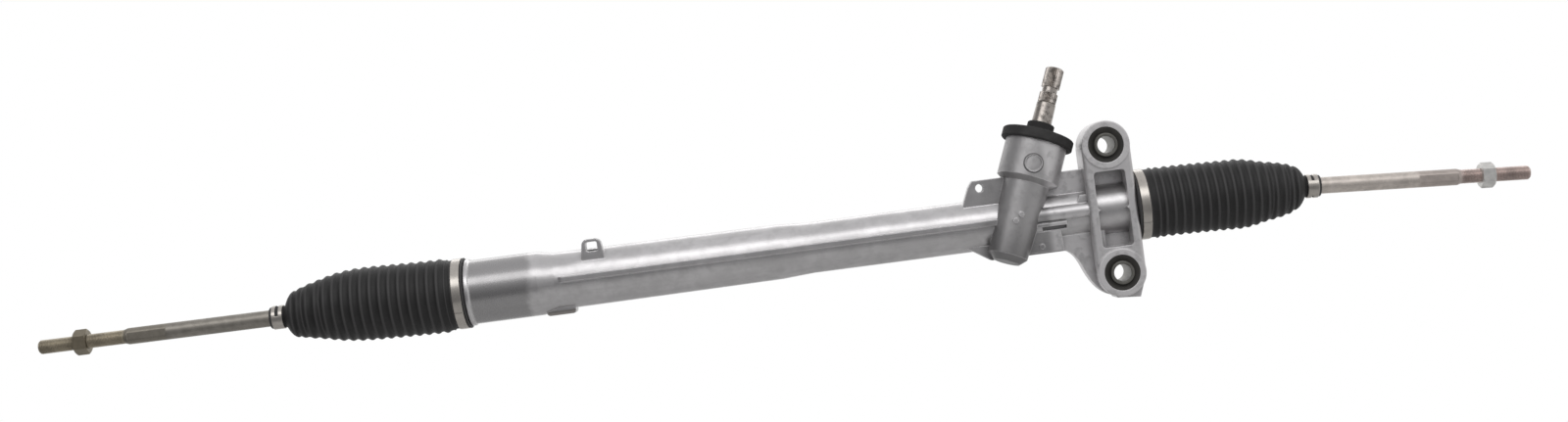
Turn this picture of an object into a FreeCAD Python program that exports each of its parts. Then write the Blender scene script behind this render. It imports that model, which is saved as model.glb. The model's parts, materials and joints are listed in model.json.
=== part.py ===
"""Rack-and-pinion steering gear for a small car, with its two inner tie rods.

Frame: X runs along the rack bar, from the left tie rod to the right one. Z is up, and Y points away from
the side that carries the pinion tower. The origin is on the rack bar's axis, midway between the two
mounting bushes. All sizes are in millimetres and all angles in degrees.
"""

import FreeCAD
import Part

import math
import os

Vector = FreeCAD.Vector
Rotation = FreeCAD.Rotation
Placement = FreeCAD.Placement

X_AXIS = Vector(1, 0, 0)
Y_AXIS = Vector(0, 1, 0)
Z_AXIS = Vector(0, 0, 1)
ORIGIN = Vector(0, 0, 0)

# Clearances between pieces
running_clearance = 0.03
loose_clearance = 0.3
seat_clearance = 0.02
tooth_backlash = 0.06

# Housing tube
right_end_x = 38.0
housing_length = 604.0
left_end_x = right_end_x - housing_length
tube_bore_radius = 16.0
tube_radius_left = 24.4
tube_radius_middle = 23.3
tube_radius_right = 21.6
tube_middle_x = -282.0
tube_step_length = 27.0
saddle_radius = 27.2
saddle_length = 62.0
saddle_blend_length = 14.0
saddle_flange_radius = 28.4
saddle_flange_width = 5.0
saddle_edge_chamfer = 1.2
front_rib_top = 3.6
front_rib_height = 4.8
front_rib_gap = 6.5
front_rib_proud = 1.7

# Spigots that carry the boots
spigot_radius = 26.0
spigot_length = 17.0
spigot_groove_depth = 1.0
spigot_groove_margin = 0.3
stop_depth = 4.3
stop_gap = 0.7
stop_bore_clearance = 2.7

# Rack bar
rack_bar_radius = 12.5
rack_bore_radius = 14.0
rack_travel = 62.0
rack_bar_end_chamfer = 1.5
rack_bush_wall = 4.5
rack_bush_length = 30.0
rack_bush_depth = 6.0
rack_bush_rim = 6.0
rack_bush_slit = 1.5
rack_bush_slits = 3

# Rack and pinion teeth
module = 2.0
pinion_teeth = 7
pressure_angle = 25.0
profile_shift = 0.7
rack_addendum = 2.0
rack_dedendum = 2.05
pinion_tip_radius = 9.8
pinion_root_radius = 5.6
pitch_line_height = 7.6
tooth_overrun = 18.0
toothed_length = 2 * (rack_travel + tooth_overrun)
pinion_face_width = 28.0
pinion_sections = 9
pinion_shoulder_radius = 9.3

# Where the pinion crosses the rack bar and how it leans
pinion_x = -79.8
pinion_lean = 22.3
tower_tilt = -8.0
pinion_pitch_radius = module * pinion_teeth / 2 / math.cos(math.radians(pinion_lean))
pinion_offset = pitch_line_height + pinion_pitch_radius + profile_shift

# Pinion tower, measured along the pinion's axis from the crossing
tower_top = 71.0
tower_step = 33.6
tower_step_chamfer = 4.0
tower_bottom = -38.5
tower_upper_radius = 26.0
tower_lower_radius_top = 19.8
tower_lower_radius_bottom = 16.6
tower_end_chamfer = 5.5
pinion_bore_radius = 11.0
mark_height = 44.4
mark_radius = 7.7
mark_depth = 1.0
mark_proud = 0.5
mark_rim = 1.0
lower_pip_height = -5.0
lower_pip_step = -2.0
upper_pip_height = 1.2
upper_pip_step = 1.2
pip_radius = 2.2
pip_proud = 0.9

# Upper bearing, seal and dust cover
bearing_bottom = 36.0
bearing_width = 12.0
bearing_outer_radius = 20.0
bearing_bore_radius = 8.5
bearing_race_wall = 3.3
bearing_ball_radius = 3.1
bearing_ball_count = 9
snap_ring_gap = 0.2
snap_ring_thickness = 1.6
snap_ring_bite = 0.9
snap_ring_width = 2.6
snap_ring_eye_radius = 2.0
snap_ring_eye_step = 5.0
circlip_bite = 0.6
circlip_width = 1.8
circlip_thickness = 1.3
seal_gap = 2.0
seal_width = 8.0
seal_wall = 2.0
seal_lip_height = 4.0
cover_radius = 30.4
cover_overlap = 5.7
cover_skirt = 8.4
cover_wall = 1.8
cover_cone_radius = 15.8
cover_cone_height = 4.5
cover_hub_radius = 11.5
cover_hub_top = 83.5
cover_edge = 0.8
cover_seat_width = 5.0

# Lower bearing
journal_radius = 6.0
journal_length = 13.0
needle_radius = 1.0
needle_count = 16
needle_length = 10.0
needle_shell_wall = 1.4
lower_bore_end = -31.0

# Input shaft
shaft_radius = 8.5
shaft_upper_radius = 8.1
shaft_band_bottom = 102.3
shaft_band_top = 110.5
shaft_band_radius = 7.7
shaft_neck_radius = 6.4
shaft_spline_bottom = 115.5
shaft_tip = 132.8
spline_radius = 7.8
spline_depth = 0.75
spline_count = 30
shaft_tip_chamfer = 1.2

# Rack guide, behind the rack bar
guide_radius = 17.0
guide_length = 22.0
guide_liner_thickness = 1.0
guide_liner_radius = 14.6
guide_pocket_radius = 9.6
guide_pocket_depth = 11.0
guide_plug_gap = 0.2
guide_plug_radius = 19.0
guide_plug_length = 15.0
guide_plug_pocket_depth = 5.0
guide_plug_hex_across = 22.0
guide_plug_hex_height = 7.0
guide_plug_proud = 3.0
guide_nut_across = 46.0
guide_nut_thickness = 7.0
guide_boss_radius = 23.5
guide_spring_wire_radius = 1.5
guide_spring_turns = 4.0
guide_ring_radius = 1.2
guide_ring_place = 7.0

# Mounting bracket and its two rubber bushes
bush_spacing = 108.0
bracket_half_width = 20.4
bracket_front = -26.0
bracket_back = 7.0
boss_proud = 1.5
boss_wall = 5.2
boss_front = bracket_front - boss_proud
bush_radius = 15.0
boss_radius = bush_radius + boss_wall
bush_recess = 1.0
sleeve_bore_radius = 7.25
sleeve_wall = 2.6
sleeve_radius = sleeve_bore_radius + sleeve_wall
sleeve_front_proud = 1.5
sleeve_back_proud = 3.0
sleeve_front = boss_front - sleeve_front_proud
sleeve_back = bracket_back + sleeve_back_proud
sleeve_chamfer = 0.6
bush_lip = 1.2
bush_dish = 2.0
bracket_rim = 7.2
pocket_floor = -5.0
pocket_end_wall = 1.8
bracket_corner = 2.5
boss_corner_front = -22.0
boss_corner_back = 5.0

# Webs between the tower and the bracket
web_front = -13.0
web_back = 4.0
upper_web_top = 36.5
lower_web_bottom = -30.3
web_curve_start_x = -42.0
web_curve_end_x = -8.0
web_curve_shares = [(0.0, 0.0), (0.18, 0.11), (0.4, 0.46), (0.69, 0.84), (1.0, 1.0)]
web_curve_end_gap = 1.6
web_tuck = 8.0
gusset_lead = 4.0
gusset_length = 18.2
ridge_height = 1.7
ridge_half_height = 6.7
ridge_front = -24.5
ledge_front = -22.5
ledge_thickness = 3.0
ledge_right_x = -40.0
recess_left_x = -60.5
recess_right_x = -40.0
recess_height = 3.0
recess_floor = -15.0
panel_front = -18.5
panel_bottom = -29.0
panel_tuck = 4.0
panel_right_x = -45.6
panel_edge_lean = 1.2
panel_edge_bulge = 0.4
panel_pip_x = -62.5
panel_pip_z = -24.0
buttress_front = -20.0
buttress_top = 15.0
buttress_bottom = 5.4
buttress_length = 12.0
buttress_slope = 4.2

# Small lugs on the tube
left_lug_from_end = 127.6
left_lug_x = left_end_x + left_lug_from_end
left_lug_base_width = 22.0
left_lug_top_width = 15.0
left_lug_top = 32.0
left_lug_front = -19.5
left_lug_thickness = 11.0
left_lug_hole_width = 9.6
left_lug_hole_height = 7.8
left_lug_hole_below_top = 6.4
left_lug_hole_z = left_lug_top - left_lug_hole_below_top
right_lug_reach = 43.9
right_lug_left_x = pinion_x - right_lug_reach
right_lug_top = 38.2
right_lug_lead = 6.2
right_lug_shoulder = 5.0
right_lug_top_lead = 9.8
right_lug_front = -14.0
right_lug_thickness = 12.0
right_lug_hole_from_edge = 15.5
right_lug_hole_below_top = 6.6
right_lug_hole_x = right_lug_left_x + right_lug_hole_from_edge
right_lug_hole_z = right_lug_top - right_lug_hole_below_top
right_lug_hole_radius = 3.5
foot_pad_gap = 3.0
foot_pad_length = 25.0
foot_pad_bottom = -28.6
foot_pad_half_width = 9.0

# Inner ball joints
ball_radius = 13.0
ball_seat_wall = 2.2
socket_radius = 18.8
socket_chamfer = 1.0
socket_back = 24.0
socket_front = 12.5
socket_stud_radius = 8.0
socket_stud_length = 26.0
socket_flats_across = 31.0
socket_flats_length = 9.0
claw_width = 9.0
claw_length = 6.0
washer_thickness = 1.6
washer_radius = 15.5
ball_offset = rack_travel + stop_gap - stop_depth + washer_thickness + socket_back
mouth_half_angle = 50.0
seat_mouth_half_angle = 47.0

# Tie rods, measured along the rod from the ball's centre
rod_radius = 7.0
rod_neck_radius = 6.0
rod_neck_end = 22.0
rod_neck_taper = 4.0
left_rod_shank = 157.0
right_rod_shank = 142.0
rod_flats_length = 33.0
rod_flats_across = 12.4
rod_flats_relief = 3.0
rod_flats_turn = 0.0
rod_thread_radius = 6.0
left_rod_thread = 73.5
right_rod_thread = 59.0
rod_tip_chamfer = 1.5
jam_nut_to_tip = 31.0
jam_nut_length = 11.0
jam_nut_across = 19.0
left_rod_droop = -0.3
right_rod_droop = 3.9

# Boots, measured outwards from the housing's end face
boot_wall = 1.8
boot_cuff_thickness = 3.2
boot_lip_proud = 0.8
boot_first_fold = 5.0
boot_fold_count = 17
boot_fold_depth = 3.2
left_boot_crests = [(65.0, 31.6), (80.0, 30.9), (95.0, 28.9), (110.0, 25.2), (121.0, 22.7), (131.0, 19.4)]
right_boot_crests = [(75.0, 29.9), (85.0, 28.1), (95.0, 25.6), (105.0, 24.0), (115.0, 21.5), (122.0, 17.0)]
left_neck_from_ball = 54.5
right_neck_from_ball = 44.5
left_boot_sag = -2.4
right_boot_sag = 1.8
sag_shape = 6.75
boot_neck_lead = 2.8
boot_neck_length = 13.5
boot_neck_wall = 2.1
boot_neck_gap = 0.05
clamp_gap = 0.05
large_clamp_width = 7.6
large_clamp_thickness = 0.9
large_clamp_centre = -11.0
small_clamp_width = 9.5
small_clamp_thickness = 0.9
clamp_ear_height = 5.0
clamp_ear_width = 7.0
small_ear_height = 3.8
small_ear_width = 5.0
left_clamp_turn = 90.0
right_clamp_turn = 270.0


def turned(outline):
    """A solid of revolution about X from an outline of (x, radius) corners."""
    points = [Vector(x, radius, 0) for x, radius in outline]
    face = Part.Face(Part.makePolygon(points + points[:1]))
    return face.revolve(ORIGIN, X_AXIS, 360)


def ring(outer_radius, inner_radius, start, end, axis=Z_AXIS):
    """A plain ring between two places along an axis through the origin."""
    outer = Part.makeCylinder(outer_radius, end - start, axis * start, axis)
    inner = Part.makeCylinder(inner_radius, end - start, axis * start, axis)
    return outer.cut(inner)


def box(low, high):
    """A box between two opposite corners."""
    return Part.makeBox(high[0] - low[0], high[1] - low[1], high[2] - low[2], Vector(*low))


def plate(outline, front, back):
    """A plate with an outline in X and Z, between two values of Y."""
    points = [Vector(x, front, z) for x, z in outline]
    face = Part.Face(Part.makePolygon(points + points[:1]))
    return face.extrude(Vector(0, back - front, 0))


def curved_plate(corners, curve, front, back):
    """A plate with straight sides through some corners and a smooth side through the points of a curve."""
    points = [Vector(x, front, z) for x, z in corners]
    bend = [Vector(x, front, z) for x, z in curve]
    side = Part.BSplineCurve()
    side.interpolate(bend)
    straight = Part.makePolygon([bend[-1]] + points + [bend[0]])
    face = Part.Face(Part.Wire([side.toShape()] + straight.Edges))
    return face.extrude(Vector(0, back - front, 0))


def hex_prism(across_flats, length, axis=Z_AXIS):
    """A hexagonal prism from the origin along an axis, with rounded-off corners at both ends."""
    corner = across_flats / math.sqrt(3)
    corners = []
    for step in range(7):
        angle = math.radians(60 * step)
        corners.append(Vector(corner * math.cos(angle), corner * math.sin(angle), 0))
    prism = Part.Face(Part.makePolygon(corners)).extrude(Vector(0, 0, length))
    reach = corner - across_flats / 2
    lower = Part.makeCone(across_flats / 2, corner, reach * 0.6)
    middle = Part.makeCylinder(corner, length - 1.2 * reach, Vector(0, 0, 0.6 * reach))
    upper = Part.makeCone(corner, across_flats / 2, reach * 0.6, Vector(0, 0, length - 0.6 * reach))
    prism = prism.common(lower.fuse([middle, upper]))
    prism.Placement = Placement(ORIGIN, Rotation(Z_AXIS, axis))
    return prism


def moved(shape, placement):
    """A copy of a shape after a placement."""
    copy = shape.copy()
    copy.Placement = placement.multiply(copy.Placement)
    return copy


def tower_frame():
    """The placement that carries the pinion's own frame, with Z along the pinion, to the part's frame."""
    tilt = Placement(ORIGIN, Rotation(X_AXIS, tower_tilt))
    shift = Placement(Vector(pinion_x, -pinion_offset, 0), Rotation(Y_AXIS, pinion_lean))
    return tilt.multiply(shift)


def guide_frame():
    """The placement that carries the guide's own frame, with Z away from the pinion, to the part's frame."""
    tilt = Placement(ORIGIN, Rotation(X_AXIS, tower_tilt))
    shift = Placement(Vector(pinion_x, 0, 0), Rotation(X_AXIS, -90))
    return tilt.multiply(shift)


def side_frame(side):
    """The placement of an end's own frame, with X outwards from the housing's end face."""
    if side == "right":
        return Placement(Vector(right_end_x, 0, 0), Rotation())
    return Placement(Vector(left_end_x, 0, 0), Rotation(Z_AXIS, 180))


def rod_frame(side):
    """The placement of a tie rod's own frame, with X along the rod from the ball's centre."""
    droop = right_rod_droop if side == "right" else left_rod_droop
    at_ball = Placement(Vector(ball_offset, 0, 0), Rotation(Y_AXIS, droop))
    return side_frame(side).multiply(at_ball)


def tube_outer():
    """The outside of the tube, with the saddle cylinder and the two spigots."""
    saddle_start = left_end_x + spigot_length
    saddle_end = saddle_start + saddle_length
    blend_end = saddle_end + saddle_blend_length
    groove = large_clamp_width / 2 + spigot_groove_margin
    left_groove = left_end_x - large_clamp_centre
    right_groove = right_end_x + large_clamp_centre
    groove_radius = spigot_radius - spigot_groove_depth
    return turned([
        (left_end_x, 0),
        (left_end_x, spigot_radius),
        (left_groove - groove, spigot_radius),
        (left_groove - groove, groove_radius),
        (left_groove + groove, groove_radius),
        (left_groove + groove, spigot_radius),
        (saddle_start, spigot_radius),
        (saddle_start, saddle_flange_radius - saddle_edge_chamfer),
        (saddle_start + saddle_edge_chamfer, saddle_flange_radius),
        (saddle_start + saddle_flange_width - saddle_edge_chamfer, saddle_flange_radius),
        (saddle_start + saddle_flange_width, saddle_radius),
        (saddle_end, saddle_radius),
        (blend_end, tube_radius_left),
        (tube_middle_x, tube_radius_middle),
        (tube_middle_x + tube_step_length, tube_radius_right),
        (right_end_x - spigot_length, tube_radius_right),
        (right_end_x - spigot_length, spigot_radius),
        (right_groove - groove, spigot_radius),
        (right_groove - groove, groove_radius),
        (right_groove + groove, groove_radius),
        (right_groove + groove, spigot_radius),
        (right_end_x, spigot_radius),
        (right_end_x, 0),
    ])


def front_rib(sign):
    """The long rib at the height of the axis, on the front (sign -1) or the back (sign 1) of the tube."""
    start = left_end_x + spigot_length + saddle_length + front_rib_gap
    left = (tube_radius_left + front_rib_proud) * sign
    middle = (tube_radius_middle + front_rib_proud) * sign
    right = (tube_radius_right + front_rib_proud) * sign
    bottom = front_rib_top - front_rib_height
    inner = (tube_bore_radius + 1) * sign
    points = [
        Vector(start, inner, bottom),
        Vector(start + saddle_blend_length, left, bottom),
        Vector(tube_middle_x, middle, bottom),
        Vector(tube_middle_x + tube_step_length, right, bottom),
        Vector(pinion_x, right, bottom),
        Vector(pinion_x, inner, bottom),
    ]
    face = Part.Face(Part.makePolygon(points + points[:1]))
    return face.extrude(Vector(0, 0, front_rib_height))


def tower_lower_radius(height):
    """The outside radius of the tower's lower section, which tapers, at a height along the pinion."""
    bottom = tower_bottom + tower_end_chamfer
    along = (height - bottom) / (tower_step - bottom)
    return tower_lower_radius_bottom + (tower_lower_radius_top - tower_lower_radius_bottom) * along


def tower_outer():
    """The outside of the pinion tower in the pinion's own frame."""
    upper = Part.makeCylinder(tower_upper_radius, tower_top - tower_step, Vector(0, 0, tower_step))
    step_start = tower_step - tower_step_chamfer
    step = Part.makeCone(
        tower_lower_radius_top, tower_upper_radius, tower_step_chamfer, Vector(0, 0, step_start))
    lower_start = tower_bottom + tower_end_chamfer
    lower = Part.makeCone(
        tower_lower_radius_bottom,
        tower_lower_radius_top,
        tower_step - lower_start,
        Vector(0, 0, lower_start),
    )
    end = Part.makeCone(
        tower_lower_radius_bottom - tower_end_chamfer,
        tower_lower_radius_bottom,
        tower_end_chamfer,
        Vector(0, 0, tower_bottom),
    )
    return upper.fuse([step, lower, end])


def needle_shell_radius():
    """The outside radius of the lower bearing's drawn shell."""
    return journal_radius + 2 * needle_radius + 2 * running_clearance + needle_shell_wall


def tower_bore():
    """All that is bored out of the tower, in the pinion's own frame."""
    seat_top = bearing_bottom + bearing_width
    ring_bottom = seat_top + snap_ring_gap
    groove_radius = bearing_outer_radius + snap_ring_bite
    shell_radius = needle_shell_radius() + seat_clearance
    bore_end = -pinion_face_width / 2 - 1
    bore = Part.makeCylinder(pinion_bore_radius, bearing_bottom - bore_end, Vector(0, 0, bore_end))
    seat = Part.makeCylinder(
        bearing_outer_radius + seat_clearance, tower_top - bearing_bottom + 1, Vector(0, 0, bearing_bottom))
    groove = Part.makeCylinder(groove_radius, snap_ring_thickness, Vector(0, 0, ring_bottom))
    blind = Part.makeCylinder(shell_radius, -lower_bore_end, Vector(0, 0, lower_bore_end))
    return bore.fuse([seat, groove, blind])


def bracket():
    """The upright bracket with its two bush bosses and the pockets between the bosses and the tube."""
    half = bush_spacing / 2
    body = box((-bracket_half_width, bracket_front, -half), (bracket_half_width, bracket_back, half))
    corners = [edge for edge in body.Edges if abs(edge.Vertexes[0].Y - edge.Vertexes[1].Y) < 0.1]
    front_edges = [
        edge for edge in corners
        if edge.Vertexes[0].Y < 0 and abs(edge.Vertexes[0].X - edge.Vertexes[1].X) < 0.1
    ]
    body = body.makeFillet(bracket_corner, front_edges)
    for sign in (1, -1):
        boss = Part.makeCylinder(
            boss_radius, bracket_back - boss_front, Vector(0, boss_front, sign * half), Y_AXIS
        )
        rear = max(boss.Edges, key=lambda edge: edge.CenterOfMass.y)
        front = min(boss.Edges, key=lambda edge: edge.CenterOfMass.y)
        boss = boss.makeFillet(0.8, [rear, front])
        body = body.fuse(boss)
        pocket_end = half - boss_radius - pocket_end_wall
        pocket = box(
            (-bracket_half_width + bracket_rim, bracket_front - 5, 0),
            (bracket_half_width - bracket_rim, pocket_floor, pocket_end),
        )
        uprights = [edge for edge in pocket.Edges if abs(edge.Vertexes[0].Y - edge.Vertexes[1].Y) > 1]
        pocket = pocket.makeFillet(3.0, uprights)
        if sign < 0:
            pocket.rotate(ORIGIN, Y_AXIS, 180)
        body = body.cut(pocket)
    return body.fuse(boss_corner())


def boss_corner():
    """The squared corner of the casting under the lower boss."""
    shares = [(-0.4, -0.79), (-0.3, -1.02), (0.67, -1.1), (1.0, -0.2), (0.0, 0.0)]
    outline = [(x * boss_radius, z * boss_radius - bush_spacing / 2) for x, z in shares]
    return plate(outline, boss_corner_front, boss_corner_back)


def webs():
    """The flat webs that join the tower to the bracket, with the gusset on the tower's other side."""
    right = -bracket_half_width + 2
    upper = plate(
        [(web_left(), 0), (web_left(), upper_web_top), (right, upper_web_top), (right, 0)],
        web_front, web_back,
    )
    drop = web_curve_end_gap - boss_radius - bush_spacing / 2 - lower_web_bottom
    reach = web_curve_end_x - web_curve_start_x
    curve = [
        (web_curve_start_x + reach * along, lower_web_bottom + drop * fall)
        for along, fall in web_curve_shares
    ]
    gusset_end = right_lug_left_x - gusset_lead
    lower = curved_plate(
        [
            (web_curve_end_x, 0),
            (gusset_end, 0),
            (gusset_end, -tube_bore_radius),
            (gusset_end + gusset_lead + gusset_length, lower_web_bottom),
        ],
        curve, web_front, web_back,
    )
    return upper.fuse(lower)


def web_left():
    """Where the webs and the ridge start, inside the tower's wall."""
    return pinion_x + web_tuck


def ledge_bottom():
    """The underside of the ledge below the ridge."""
    return ridge_height - ridge_half_height - ledge_thickness


def ridge():
    """The round ridge between the tower and the bracket, with the ledge under it and the buttress."""
    right = -bracket_half_width + 2
    middle = ridge_front + ridge_half_height
    nose = Part.makeCylinder(
        ridge_half_height, right - web_left(), Vector(web_left(), middle, ridge_height), X_AXIS)
    back = box(
        (web_left(), middle, ridge_height - ridge_half_height), (right, 0, ridge_height + ridge_half_height))
    ledge = box(
        (web_left(), ledge_front, ledge_bottom()),
        (ledge_right_x, 0, ridge_height - ridge_half_height),
    )
    buttress = plate(
        [
            (right - buttress_length, buttress_bottom),
            (right - buttress_length + buttress_slope, buttress_top),
            (right, buttress_top),
            (right, buttress_bottom),
        ],
        buttress_front, web_back,
    )
    return nose.fuse([back, ledge, buttress])


def raised_panel():
    """The raised panel of the lower web, beside the tower, with its small pip."""
    top = ledge_bottom() - recess_height
    left = web_left() - panel_tuck
    middle = (top + panel_bottom) / 2
    panel = curved_plate(
        [(left, panel_bottom), (left, top)],
        [
            (panel_right_x, top),
            (panel_right_x + panel_edge_lean / 2 + panel_edge_bulge, middle),
            (panel_right_x + panel_edge_lean, panel_bottom),
        ],
        panel_front, web_back,
    )
    pip = Part.makeCylinder(
        pip_radius, web_back - panel_front + pip_proud,
        Vector(panel_pip_x, panel_front - pip_proud, panel_pip_z), Y_AXIS)
    return panel.fuse(pip)


def ledge_recess():
    """The slot that the casting has between the ledge and the raised panel."""
    return box(
        (recess_left_x, ridge_front, ledge_bottom() - recess_height),
        (recess_right_x, recess_floor, ledge_bottom()),
    )


def left_lug():
    """The lug with a square hole near the saddle."""
    base = left_lug_base_width / 2
    top = left_lug_top_width / 2
    body = plate(
        [
            (left_lug_x - base, 8),
            (left_lug_x - top, left_lug_top),
            (left_lug_x + top, left_lug_top),
            (left_lug_x + base, 8),
        ],
        left_lug_front, left_lug_front + left_lug_thickness,
    )
    top_edges = [
        edge for edge in body.Edges
        if edge.Vertexes[0].Z > left_lug_top - 0.1 and edge.Vertexes[1].Z > left_lug_top - 0.1
        and abs(edge.Vertexes[0].Y - edge.Vertexes[1].Y) > 1
    ]
    body = body.makeFillet(5.0, top_edges)
    half_width = left_lug_hole_width / 2
    half_height = left_lug_hole_height / 2
    hole = box(
        (left_lug_x - half_width, left_lug_front - 1, left_lug_hole_z - half_height),
        (left_lug_x + half_width, left_lug_front + left_lug_thickness + 1, left_lug_hole_z + half_height),
    )
    corners = [edge for edge in hole.Edges if abs(edge.Vertexes[0].Y - edge.Vertexes[1].Y) > 1]
    hole = hole.makeFillet(1.6, corners)
    return body, hole


def right_lug():
    """The drilled lug that fills the corner between the tube and the tower."""
    body = plate(
        [
            (right_lug_left_x, 12),
            (right_lug_left_x, right_lug_top / 2),
            (right_lug_left_x + right_lug_lead, right_lug_top - right_lug_shoulder),
            (right_lug_left_x + right_lug_top_lead, right_lug_top),
            (pinion_x, right_lug_top),
            (pinion_x, 12),
        ],
        right_lug_front, right_lug_front + right_lug_thickness,
    )
    hole = Part.makeCylinder(
        right_lug_hole_radius, right_lug_thickness + 2,
        Vector(right_lug_hole_x, right_lug_front - 1, right_lug_hole_z), Y_AXIS,
    )
    return body, hole


def foot_pad():
    """The pad under the tube beside the saddle."""
    start = left_end_x + spigot_length + saddle_length + foot_pad_gap
    pad = box(
        (start, -foot_pad_half_width, foot_pad_bottom),
        (start + foot_pad_length, foot_pad_half_width, -tube_bore_radius - 1),
    )
    lower = [
        edge for edge in pad.Edges
        if edge.Vertexes[0].Z < foot_pad_bottom + 0.1 and edge.Vertexes[1].Z < foot_pad_bottom + 0.1
    ]
    return pad.makeFillet(3.0, lower)


def guide_boss():
    """The outside of the boss that holds the rack guide, in the guide's own frame."""
    return Part.makeCylinder(guide_boss_radius, guide_boss_top())


def guide_back():
    """How far the back of the rack guide lies from the rack bar's axis."""
    return rack_bar_radius + running_clearance + guide_liner_thickness + guide_length - 6


def guide_boss_top():
    """How far the boss's machined end face lies from the rack bar's axis."""
    return guide_back() + guide_plug_gap + guide_plug_length - guide_nut_thickness - guide_plug_proud


def housing():
    """The die-cast aluminium housing."""
    tower_place = tower_frame()
    guide_place = guide_frame()
    left_body, left_hole = left_lug()
    right_body, right_hole = right_lug()
    body = tube_outer().fuse([
        front_rib(-1),
        front_rib(1),
        moved(tower_outer(), tower_place),
        moved(guide_boss(), guide_place),
        bracket(),
        webs(),
        ridge(),
        raised_panel(),
        left_body,
        right_body,
        foot_pad(),
        moved(tower_marks(), tower_place),
    ])
    cuts = [
        left_hole,
        right_hole,
        ledge_recess(),
        moved(tower_bore(), tower_place),
    ]
    bush_end = left_end_x + rack_bush_depth + rack_bush_length
    wide_bore_end = pinion_x - toothed_length / 4
    cuts.append(Part.makeCylinder(
        rack_bore_radius, housing_length + 2, Vector(left_end_x - 1, 0, 0), X_AXIS))
    cuts.append(Part.makeCylinder(
        tube_bore_radius, wide_bore_end - bush_end, Vector(bush_end, 0, 0), X_AXIS))
    cuts.append(Part.makeCylinder(
        rack_bar_radius + running_clearance + rack_bush_wall + seat_clearance,
        bush_end - left_end_x + 1, Vector(left_end_x - 1, 0, 0), X_AXIS))
    stop_bore = socket_radius + stop_bore_clearance
    for end_x, direction in ((left_end_x, 1), (right_end_x, -1)):
        mouth = Vector(end_x - direction, 0, 0)
        cuts.append(Part.makeCylinder(stop_bore, stop_depth + 1, mouth, X_AXIS * direction))
    guide_bore = Part.makeCylinder(guide_radius + running_clearance, guide_boss_top() + 1)
    plug_seat = guide_back() + guide_plug_gap
    plug_bore = Part.makeCylinder(
        guide_plug_radius + seat_clearance, guide_boss_top() - plug_seat + 1, Vector(0, 0, plug_seat))
    cuts.append(moved(guide_bore.fuse(plug_bore), guide_place))
    half = bush_spacing / 2
    for sign in (1, -1):
        cuts.append(Part.makeCylinder(
            bush_radius + seat_clearance, sleeve_back - boss_front + 20,
            Vector(0, boss_front - 10, sign * half), Y_AXIS))
    return body.cut(cuts)


def tower_marks():
    """The round casting mark, left bare, on the tower's front and the two small pips below it."""
    foot = Vector(0, mark_depth - tower_upper_radius, 0)
    reach = mark_depth + mark_proud
    disc = Part.makeCylinder(mark_radius, reach, foot, -Y_AXIS)
    hollow = Part.makeCylinder(mark_radius - mark_rim, reach, foot, -Y_AXIS)
    mark = disc.cut(hollow)
    mark.translate(Vector(0, 0, mark_height))
    pips = []
    for height, side_step in ((lower_pip_height, lower_pip_step), (upper_pip_height, upper_pip_step)):
        surface = math.sqrt(tower_lower_radius(height) ** 2 - side_step ** 2)
        start = (pinion_bore_radius + tower_lower_radius_bottom) / 2
        pips.append(Part.makeCylinder(
            pip_radius, surface + pip_proud - start, Vector(side_step, -start, height), -Y_AXIS))
    return mark.fuse(pips)


def bush_rubber(sign):
    """One moulded rubber bush, with a thin lip where it meets its boss."""
    front = boss_front + bush_recess
    rubber = ring(bush_radius, sleeve_radius + seat_clearance, front, bracket_back - bush_recess, Y_AXIS)
    dish = Part.makeCone(bush_radius - bush_lip, sleeve_radius, bush_dish, Y_AXIS * front, Y_AXIS)
    rubber = rubber.cut(dish)
    rubber.translate(Vector(0, 0, sign * bush_spacing / 2))
    return rubber


def bush_sleeve(sign):
    """One steel sleeve, bonded into its rubber bush."""
    sleeve = ring(sleeve_radius, sleeve_bore_radius, sleeve_front, sleeve_back, Y_AXIS)
    edges = [edge for edge in sleeve.Edges if isinstance(edge.Curve, Part.Circle)]
    sleeve = sleeve.makeChamfer(sleeve_chamfer, edges)
    sleeve.translate(Vector(0, 0, sign * bush_spacing / 2))
    return sleeve


def rack_bush():
    """The slit polymer sleeve that carries the plain end of the rack bar."""
    inner = rack_bar_radius + running_clearance
    start = left_end_x + rack_bush_depth
    sleeve = ring(inner + rack_bush_wall, inner, start, start + rack_bush_length, X_AXIS)
    slit = box(
        (start + rack_bush_rim, -rack_bush_slit / 2, 0),
        (start + rack_bush_length + 1, rack_bush_slit / 2, inner + rack_bush_wall + 1),
    )
    slits = []
    for step in range(rack_bush_slits):
        copy = slit.copy()
        copy.rotate(ORIGIN, X_AXIS, 360 * step / rack_bush_slits + 180 / rack_bush_slits)
        slits.append(copy)
    return sleeve.cut(slits)


def bearing_ball_circle():
    """The radius of the circle on which the upper bearing's balls run."""
    return (bearing_outer_radius + bearing_bore_radius) / 2


def ball_track():
    """The torus that the bearing's balls sweep, a little larger than the balls."""
    middle = bearing_bottom + bearing_width / 2
    track_radius = bearing_ball_radius + running_clearance
    return Part.makeTorus(bearing_ball_circle(), track_radius, Vector(0, 0, middle))


def bearing_outer_race():
    """The upper bearing's outer race, with its ball track."""
    top = bearing_bottom + bearing_width
    race = ring(bearing_outer_radius, bearing_outer_radius - bearing_race_wall, bearing_bottom, top)
    return moved(race.cut(ball_track()), tower_frame())


def bearing_inner_race():
    """The upper bearing's inner race, pressed on the pinion shaft."""
    top = bearing_bottom + bearing_width
    bore = bearing_bore_radius + seat_clearance
    race = ring(bearing_bore_radius + bearing_race_wall, bore, bearing_bottom, top)
    return moved(race.cut(ball_track()), tower_frame())


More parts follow.
